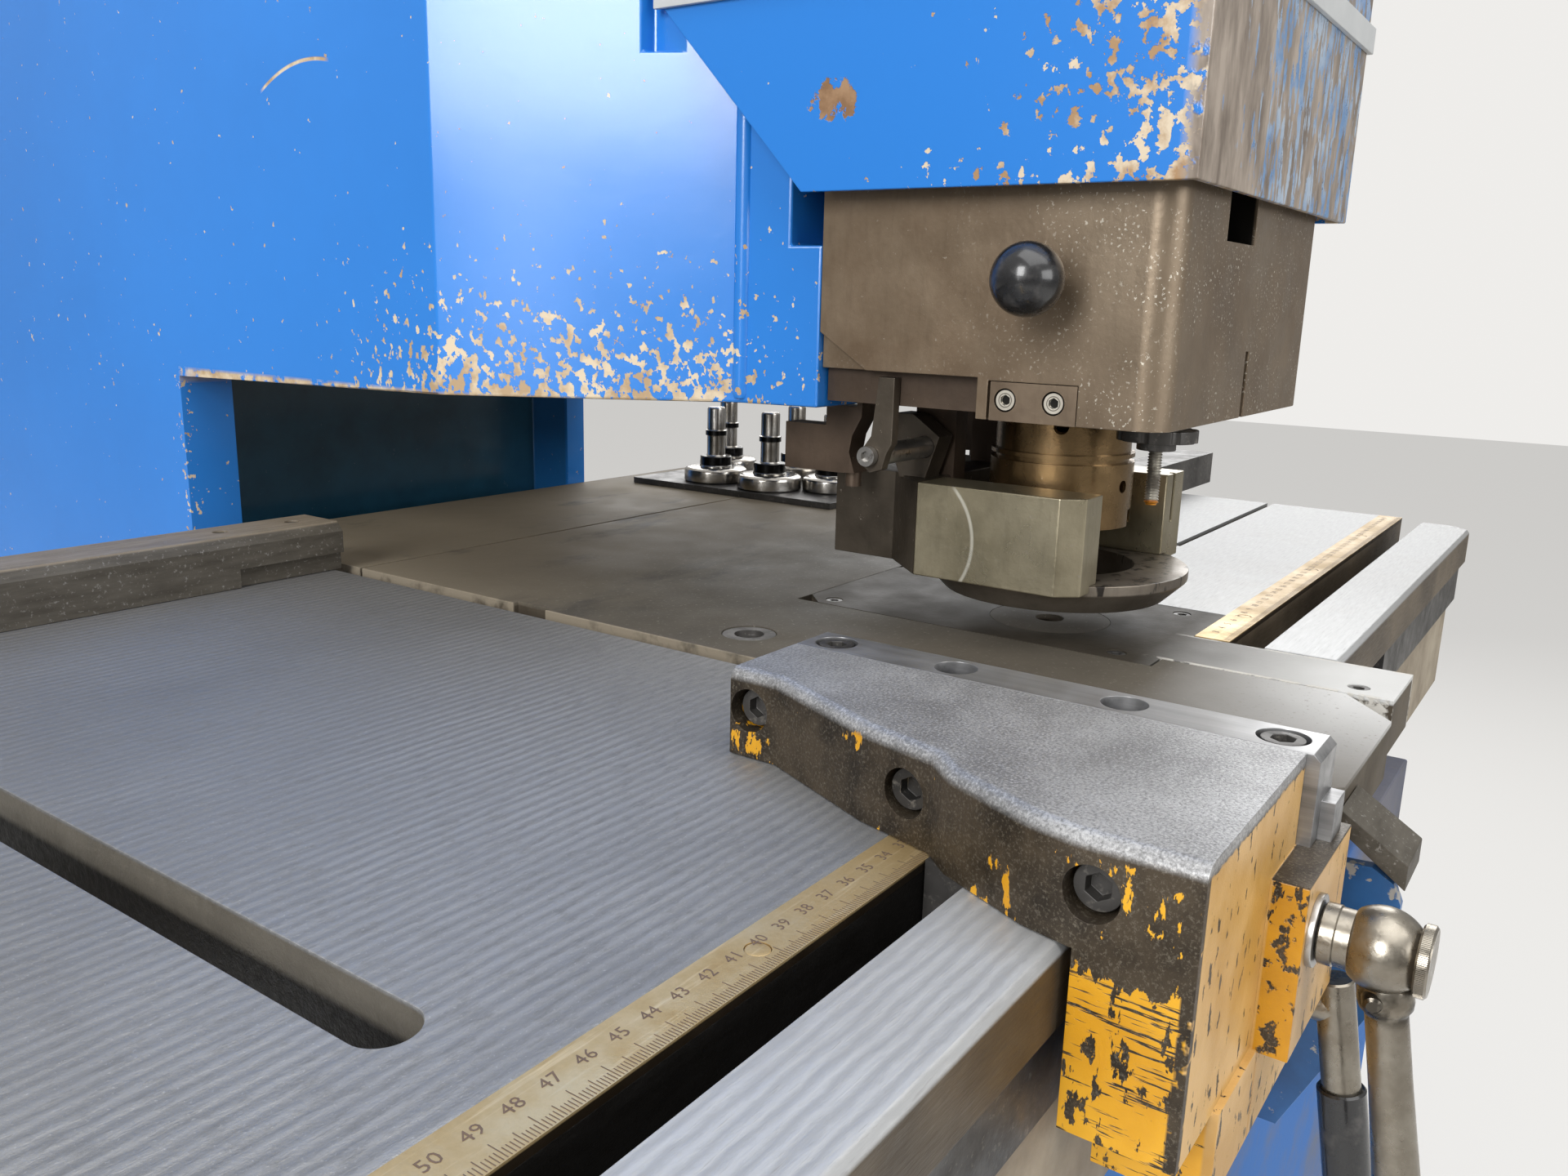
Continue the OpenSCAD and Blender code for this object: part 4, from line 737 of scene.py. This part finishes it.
# Side plate of the housing, held by two socket screws: here their heads are drawn flush
# in the plate, with the dark gaps round them and their sockets painted in as shade.
screw_y, screw_z = (-0.017, -0.038), table_top + 0.1155
plate_steel, tree, shader, tone = tanned("plate_steel", (0.14, 0.10, 0.068), (0.28, 0.215, 0.15), 0.38, 0.6, 0.66)
along, high = (axis_of(tree, letter) for letter in "YZ")
nearest = least(tree, apart(tree, along, screw_y[0]), apart(tree, along, screw_y[1]))
rise = apart(tree, high, screw_z)
span = sums(tree, "SQRT", plus(tree, times(tree, nearest, nearest), times(tree, rise, rise)), 0.0)
# Painted shade: a near-black ring for the gap round each head, and further down a near-black centre for each socket.
tone = blend(tree, remap(tree, span, 0.0047, 0.0049, 1.0, 0.0), tone, (0.022, 0.018, 0.014))
tone = blend(tree, remap(tree, span, 0.0040, 0.0042, 1.0, 0.0), tone, (0.60, 0.56, 0.48))
tone = blend(tree, inside(tree, span, 0.0026, 0.0030, 0.0001), tone, (0.16, 0.14, 0.115))
drive(shader, "Base Color", blend(tree, remap(tree, span, 0.0019, 0.0021, 1.0, 0.0), tone, (0.014, 0.012, 0.010)))
edged("side_plate", "frame", plate_steel, 0.4)

# Guide block with its hooked ears and posts: milled from steel, fixed up under the
# housing and nearly black with oil.
block_steel, tree, shader, tone = tanned("block_steel", (0.050, 0.034, 0.024), (0.115, 0.080, 0.055), 0.40, 0.5, 0.70)
drive(shader, "Base Color", tone)
edged("guide_block", "frame", block_steel, 0.7)

# Stripper body and latch link: the same milled steel, greener and greasier from the
# sheets. The link turns on a pin in the body's left arm.
body_steel, tree, shader, tone = tanned("body_steel", (0.050, 0.040, 0.029), (0.125, 0.103, 0.078), 0.36, 0.6, 0.66)
drive(shader, "Base Color", tone)
edged("stripper_body", "stripper", body_steel, 0.7)
edged("latch_link", "latch", body_steel, 0.7)

# Stripper disc, turned from tool steel and held in the two jaws, with dark ticks worn
# into its upright rim.
disc_steel, tree, shader, tone = tanned("disc_steel", (0.12, 0.10, 0.080), (0.27, 0.235, 0.19), 0.34, 0.65, 0.66)
high = axis_of(tree, "Z")
rim = inside(tree, high, table_top + 0.0263, table_top + 0.0315, 0.0004)
ticks = times(tree, rim, mottle(tree, position(tree, (1, 1, 0.25)), 170, 0.57, 0.62, 3))
drive(shader, "Base Color", blend(tree, ticks, tone, (0.035, 0.030, 0.026)))
edged("stripper_disc", "stripper", disc_steel, 0.6)

# Jaws of the stripper, ground bright on their cheeks, dull between and screwed to the
# body, with a long curved scratch where the latch has swung across the near one.
jaw_steel, tree, shader, tone = tanned("jaw_steel", (0.23, 0.20, 0.128), (0.44, 0.39, 0.275), 0.30, 0.8, 0.64)
across, along, high = (axis_of(tree, letter) for letter in "XYZ")
over = less(tree, along, 0.046)
lift = less(tree, high, table_top + 0.046)
swing = sums(tree, "SQRT", plus(tree, times(tree, over, over), times(tree, lift, lift)), 0.0)
groove = times(tree, remap(tree, apart(tree, swing, 0.0345), 0.0004, 0.0011, 1.0, 0.0),
    remap(tree, along, 0.024, 0.020), remap(tree, across, -0.0695, -0.0699))
drive(shader, "Base Color", blend(tree, groove, tone, (0.72, 0.69, 0.58)))
edged("stripper_jaws", "stripper", jaw_steel, 0.7, 2, 20)

# Ram and the clamp ring on its nose: turned steel, bronze-brown with baked oil and
# shiny where they slide.
bronze_steel, tree, shader, tone = tanned("bronze_steel", (0.105, 0.062, 0.026), (0.25, 0.165, 0.080), 0.24, 0.9, 0.68)
drive(shader, "Base Color", tone)
edged("ram", "ram_body", bronze_steel, 0.6)
edged("punch_ring", "ram_body", bronze_steel, 0.5)

# Latch pin, knob stem and clamp stud: turned from bright bar, dulled with oil and
# screwed or driven into the pieces that they hold.
bright_steel, tree, shader = new_finish("bright_steel", (0.48, 0.47, 0.45), 0.30, metal=0.9)
spot = position(tree)
tone = two_tone(tree, spot, 30, 0.35, 0.65, (0.30, 0.29, 0.275), (0.52, 0.51, 0.49), 5)
drive(shader, "Base Color", blend(tree, mottle(tree, spot, 260, 0.60, 0.72, 4), tone, (0.16, 0.145, 0.13)))
gloss(tree, shader, spot, 70, 4, 0.24, 0.42)
relief(tree, shader, clouds(tree, spot, 500, 3), 0.00008, 0.6)
edged("latch_pin", "stripper", bright_steel, 0.4)
edged("knob_stem", "selector", bright_steel, 0.4)
edged("clamp_stud", "gauge", bright_steel, 0.4)

# Threaded stop rod under the housing: turned steel with a cut thread and a dab of
# orange on its end.
rod_steel, tree, shader = new_finish("rod_steel", (0.30, 0.28, 0.25), 0.35, metal=0.8)
high = axis_of(tree, "Z")
tone = two_tone(tree, position(tree), 120, 0.4, 0.6, (0.26, 0.24, 0.21), (0.55, 0.53, 0.48), 3)
dab = from_table(tree, high, 0.0705, 0.0695)
drive(shader, "Base Color", blend(tree, dab, tone, (0.62, 0.26, 0.03)))
bm = bmesh.new()
turns = [(0, 68), (2.4, 68)]
for step in range(29):
    turns += [(2.5, 68.6 + 1.25 * step), (3.25, 69.2 + 1.25 * step)]
turns += [(3.2, 127), (0, 127)]
lathe(bm, at(-30, -56, 0), (0, 0, 1), turns, 32)
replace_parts(finished(bm, "stop_rod", "frame", rod_steel), "threaded_rod")

# Hardened strip along the gauge: ground, then rubbed dull grey along its length.
strip_steel, tree, shader = new_finish("strip_steel", (0.30, 0.305, 0.31), 0.36, metal=0.8)
spot = position(tree)
high = axis_of(tree, "Z")
rubs = clouds(tree, position(tree, (180, 8, 180)), 1, 5)
tone = blend(tree, remap(tree, rubs, 0.3, 0.7), (0.17, 0.17, 0.172), (0.38, 0.38, 0.385))
edge = from_table(tree, high, 0.0295, 0.0312)
drive(shader, "Base Color", blend(tree, times(tree, edge, 0.35), tone, (0.50, 0.50, 0.50)))
gloss(tree, shader, spot, 50, 4, 0.28, 0.48)
relief(tree, shader, rubs, 0.0001, 0.7)
edged("gauge_strip", "gauge", strip_steel, 0.6)

# Sliding gauge: an iron casting once ochre yellow all over. The top and the left side
# are rubbed down to grey and brown iron, the front and the flange still hold paint.
casting_iron, tree, shader = new_finish("casting_iron", (0.15, 0.14, 0.135), 0.5, metal=0.4)
spot = position(tree)
across, along, high = (axis_of(tree, letter) for letter in "XYZ")
sand = clouds(tree, spot, 1100, 3, 0.7)
iron = two_tone(tree, spot, 24, 0.33, 0.67, (0.20, 0.20, 0.202), (0.40, 0.402, 0.405), 6, 0.65)
iron = blend(tree, remap(tree, sand, 0.50, 0.36, 0.0, 0.7), iron, (0.13, 0.13, 0.13))
iron = blend(tree, remap(tree, sand, 0.52, 0.70, 0.0, 0.7), iron, (0.58, 0.58, 0.58))
rust = two_tone(tree, spot, 45, 0.4, 0.6, (0.027, 0.020, 0.013), (0.072, 0.054, 0.035), 5)
rust = blend(tree, remap(tree, sand, 0.52, 0.72, 0.0, 0.7), rust, (0.20, 0.175, 0.135))
on_side = from_table(tree, high, 0.0285, 0.0265)
metal = blend(tree, on_side, iron, rust)
on_front = remap(tree, along, -0.1672, -0.1680)
ochre = two_tone(tree, spot, 18, 0.4, 0.6, (0.58, 0.275, 0.010), (0.74, 0.385, 0.022), 4)
faded = two_tone(tree, spot, 22, 0.4, 0.6, (0.46, 0.255, 0.060), (0.60, 0.375, 0.140), 4)
ochre = blend(tree, on_front, ochre, faded)
low_leg = from_table(tree, high, 0.002, -0.007)
spots_left = times(tree, mottle(tree, spot, 30, 0.52, 0.60, 2), 0.50)
share = most(tree, on_front, most(tree, times(tree, low_leg, 0.90), spots_left))
need = remap(tree, times(tree, on_side, share), 0, 1, 0.74, 0.37)
cover = clouds(tree, position(tree, (250, 250, 105)), 1, 4, 0.6)
cut = clouds(tree, position(tree, (90, 60, 900), (0.30, 0, 0)), 1, 3, 0.6)
scored = times(tree, remap(tree, cut, 0.585, 0.62), low_leg, less(tree, 1.0, on_front))
corner = most(tree, times(tree, on_front, remap(tree, across, -0.3030, -0.3036)),
    times(tree, remap(tree, across, -0.3050, -0.3055), remap(tree, along, -0.1650, -0.1656)))
cheek = times(tree, inside(tree, across, -0.2415, -0.2400, 0.0003), remap(tree, along, -0.1690, -0.1694))
deeper = blend(tree, clouds(tree, spot, 80, 4), (0.62, 0.30, 0.010), (0.34, 0.15, 0.008))
ochre = blend(tree, cheek, ochre, deeper)
flange_top = times(tree, remap(tree, along, -0.1686, -0.1690), from_table(tree, high, 0.0022, 0.0026))
scored = most(tree, scored, most(tree, flange_top, times(tree, cheek, mottle(tree, spot, 170, 0.55, 0.59, 4))))
bare = most(tree, scored, times(tree, corner, mottle(tree, spot, 140, 0.36, 0.42, 3)))
painted = times(tree, remap(tree, less(tree, cover, need), 0.0, 0.02), on_side, less(tree, 1.0, bare))
drive(shader, "Base Color", blend(tree, painted, metal, ochre))
drive(shader, "Metallic", remap(tree, painted, 0, 1, 0.4, 0.0))
drive(shader, "Roughness", remap(tree, painted, 0, 1, 0.42, 0.36))
relief(tree, shader, plus(tree, plus(tree, times(tree, sand, 0.5), painted), clouds(tree, spot, 60, 4)),
    0.0003, 0.6)
wear_it(casting_iron, "gauge_casting")


def left_side(vert):
    return vert.co.x < -0.2160 and vert.co.y < 0.0095


bm = solid_of("gauge_casting")
top_edge = [edge for edge in bm.edges if edge.is_manifold and all(left_side(v) for v in edge.verts)
    and all(abs(v.co.z - 0.931) < 1e-5 for v in edge.verts) and edge.calc_face_angle() > math.radians(60)]
ease(bm, top_edge, 4.5, 4, False)
cheek_box = Matrix.Translation(at(-214.5, -173.55, -23.5)) @ Matrix.Diagonal((0.053, 0.0103, 0.053, 1))
bmesh.ops.create_cube(bm, size=1, matrix=cheek_box)
ease(bm, [edge for edge in bm.edges if edge.is_manifold and edge.calc_face_angle() > math.radians(38)], 0.8)
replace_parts(finished(bm, "gauge_casting_rounded", "gauge", casting_iron), "gauge_casting")

# Clamp lever of the gauge: a turned ball hub on a stepped stub with a knurled cap, and
# a handle that is pinned in its neck and widens towards its end.
lever_steel, tree, shader = new_finish("lever_steel", (0.30, 0.27, 0.225), 0.3, metal=0.95)
spot = position(tree)
high = axis_of(tree, "Z")
film = mottle(tree, spot, 60, 0.33, 0.67, 5, 0.62)
tone = blend(tree, film, (0.20, 0.175, 0.14), (0.31, 0.285, 0.24))
# The handle's neck, just under the ball, is coloured near black in patches.
neck = remap(tree, apart(tree, high, table_top - 0.0285), 0.003, 0.0065, 1.0, 0.0)
dark_neck = times(tree, neck, mottle(tree, spot, 110, 0.36, 0.5, 3))
drive(shader, "Base Color", blend(tree, times(tree, dark_neck, 0.85), tone, (0.035, 0.03, 0.024)))
drive(shader, "Roughness", remap(tree, clouds(tree, spot, 260, 3), 0.35, 0.7, 0.24, 0.40))
dimples = mottle(tree, spot, 210, 0.52, 0.60, 2)
relief(tree, shader, dimples, -0.00012, 0.22)
bm = bmesh.new()
hub = at(-228, -196.5, -14.5)
lathe(bm, hub, (0, 1, 0), [(0, 15.7), (8.0, 15.7), (8.7, 15.1), (8.7, 11.6), (8.3, 11.2), (8.3, 7.6), (9.0, 7.4)]
    + [(11.8 * math.cos(math.radians(a)), 11.8 * math.sin(math.radians(a))) for a in range(36, -52, -6)]
    + [(7.6, -9.4), (0, -9.4)], 64)
tilt = Vector((0, math.sin(math.radians(190)), math.cos(math.radians(190))))
lathe(bm, hub, tilt, [(0, 9.0), (6.8, 9.6), (7.2, 11.0), (7.3, 14.5), (6.9, 16.4), (5.9, 17.6), (5.6, 18.6), (5.7, 40),
    (6.2, 65), (6.9, 86), (7.3, 99), (7.1, 102), (6.2, 104), (3.6, 105), (0, 105.2)], 48)
pin = hub + Vector((-0.0062, 0, -0.0128))
lathe(bm, pin, (-1, -0.25, -0.15), [(0, 2.6), (1.7, 2.6), (2.5, 1.9), (2.7, 0.6), (2.7, -2), (0, -2)], 24)
handle = finished(bm, "clamp_handle", "clamp", lever_steel)
bm = bmesh.new()
lathe(bm, hub, (0, -1, 0), [(0, 8.8), (9.3, 8.8), (9.8, 9.3), (9.8, 11.8), (9.3, 12.3), (0, 12.5)], 120)
rim = [face for face in bm.faces if abs(face.normal.y) < 0.3 and len(face.verts) == 4]
bmesh.ops.inset_individual(bm, faces=rim, thickness=0.00010, depth=0.00022)
finished(bm, "clamp_cap", "clamp", lever_steel)
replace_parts(handle, "clamp_lever")

# Locking lever beside it: a plain bent rod, turned smooth, for the black grip sleeve.
wear_it(lever_steel, "lock_lever")
bm = bmesh.new()
foot = at(-180, -180.5, -62)
lathe(bm, foot, tilt, [(0, -10), (5.4, -10), (6, -9.4), (6, 59.6), (0, 59.6)], 40)
lathe(bm, foot, (0, 1, 0), [(0, 0), (6, 0), (6, 24), (0, 24)], 40)
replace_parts(finished(bm, "lock_rod", "lock", lever_steel), "lock_lever")

# Punch holders standing in the tray: turned and ground, with a broad rounded flange,
# a blackened collar and a grooved shank.
holder_steel, tree, shader = new_finish("holder_steel", (0.5, 0.49, 0.46), 0.2, metal=0.95)
spot = position(tree)
high = axis_of(tree, "Z")
tone = two_tone(tree, spot, 40, 0.35, 0.65, (0.26, 0.235, 0.20), (0.58, 0.56, 0.53), 4)
dark = most(tree, inside(tree, high, table_top + 0.0182, table_top + 0.0262, 0.0004),
    inside(tree, high, table_top + 0.0430, table_top + 0.0470, 0.0004))
drive(shader, "Base Color", blend(tree, dark, tone, (0.018, 0.018, 0.018)))
wear_it(holder_steel, "punch_holders")
bm = bmesh.new()
for x, y, wide in ((230, 398, 26), (225.5, 339.5, 26), (250, 296, 23), (288, 430, 25), (292, 360, 25)):
    lathe(bm, at(x, y, 0), (0, 0, 1), [(0, 1.2), (9.8, 1.2), (9.8, 5.1), (wide - 1.2, 5.1), (wide, 6.3), (wide, 13.2),
        (wide - 0.6, 15.2), (wide - 2.4, 16.6), (wide - 5, 17.0), (13.4, 17.3), (13.4, 18.2), (13, 18.6), (13, 25.4),
        (12.4, 26), (8.2, 26), (7.5, 26.7), (7.5, 42.4), (8.8, 43), (8.8, 47), (7.5, 47.6), (7.5, 64.5), (6.6, 66),
        (0, 66)], 48)
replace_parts(finished(bm, "turned_holders", "frame", holder_steel), "punch_holders")

# Ball knob, grip sleeve and main switch handle: black moulded plastic, hazed by oily
# hands. The knob is screwed on its stem and the sleeve pushed on the lock lever.
knob_r = 14
black_plastic, tree, shader = new_finish("black_plastic", (0.012, 0.012, 0.013), 0.22, coat=0.3)
spot = position(tree)
haze = clouds(tree, spot, 120, 4)
drive(shader, "Base Color", blend(tree, remap(tree, haze, 0.55, 0.7), (0.010, 0.010, 0.011), (0.045, 0.042, 0.040)))
drive(shader, "Roughness", remap(tree, haze, 0.3, 0.7, 0.16, 0.38))
wear_it(black_plastic, "ball_knob", "lever_sleeve", "main_switch")
bm = bmesh.new()
lathe(bm, foot, tilt, [(6.05, 27.4), (6.9, 27.1), (7.5, 27.8), (7.5, 127), (6.6, 128.6), (4, 129), (0, 129.1)], 40)
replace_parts(finished(bm, "grip_sleeve", "lock", black_plastic), "lever_sleeve")
bm = bmesh.new()
lathe(bm, at(-132, -35, 163), (1, 0, 0), [(knob_r * math.sin(math.radians(a)), -knob_r * math.cos(math.radians(a)))
    for a in range(0, 153, 4)] + [(6.3, 13.4), (4.1, 13.4), (4.1, 12)], 64)
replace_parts(finished(bm, "pull_knob", "selector", black_plastic), "ball_knob")

# Push buttons of the switch box: moulded caps in green and red with a light haze, each
# on a spring behind the box's front.
for name, colour, deep in (("start_button", (0.03, 0.26, 0.08), (0.02, 0.20, 0.06)),
        ("stop_button", (0.42, 0.03, 0.02), (0.33, 0.02, 0.015)),
        ("emergency_button", (0.50, 0.03, 0.02), (0.40, 0.02, 0.015))):
    cap, tree, shader = new_finish(name + "_cap", colour, 0.3, coat=0.3)
    drive(shader, "Base Color", blend(tree, clouds(tree, position(tree), 160), deep, colour))
    wear_it(cap, name)
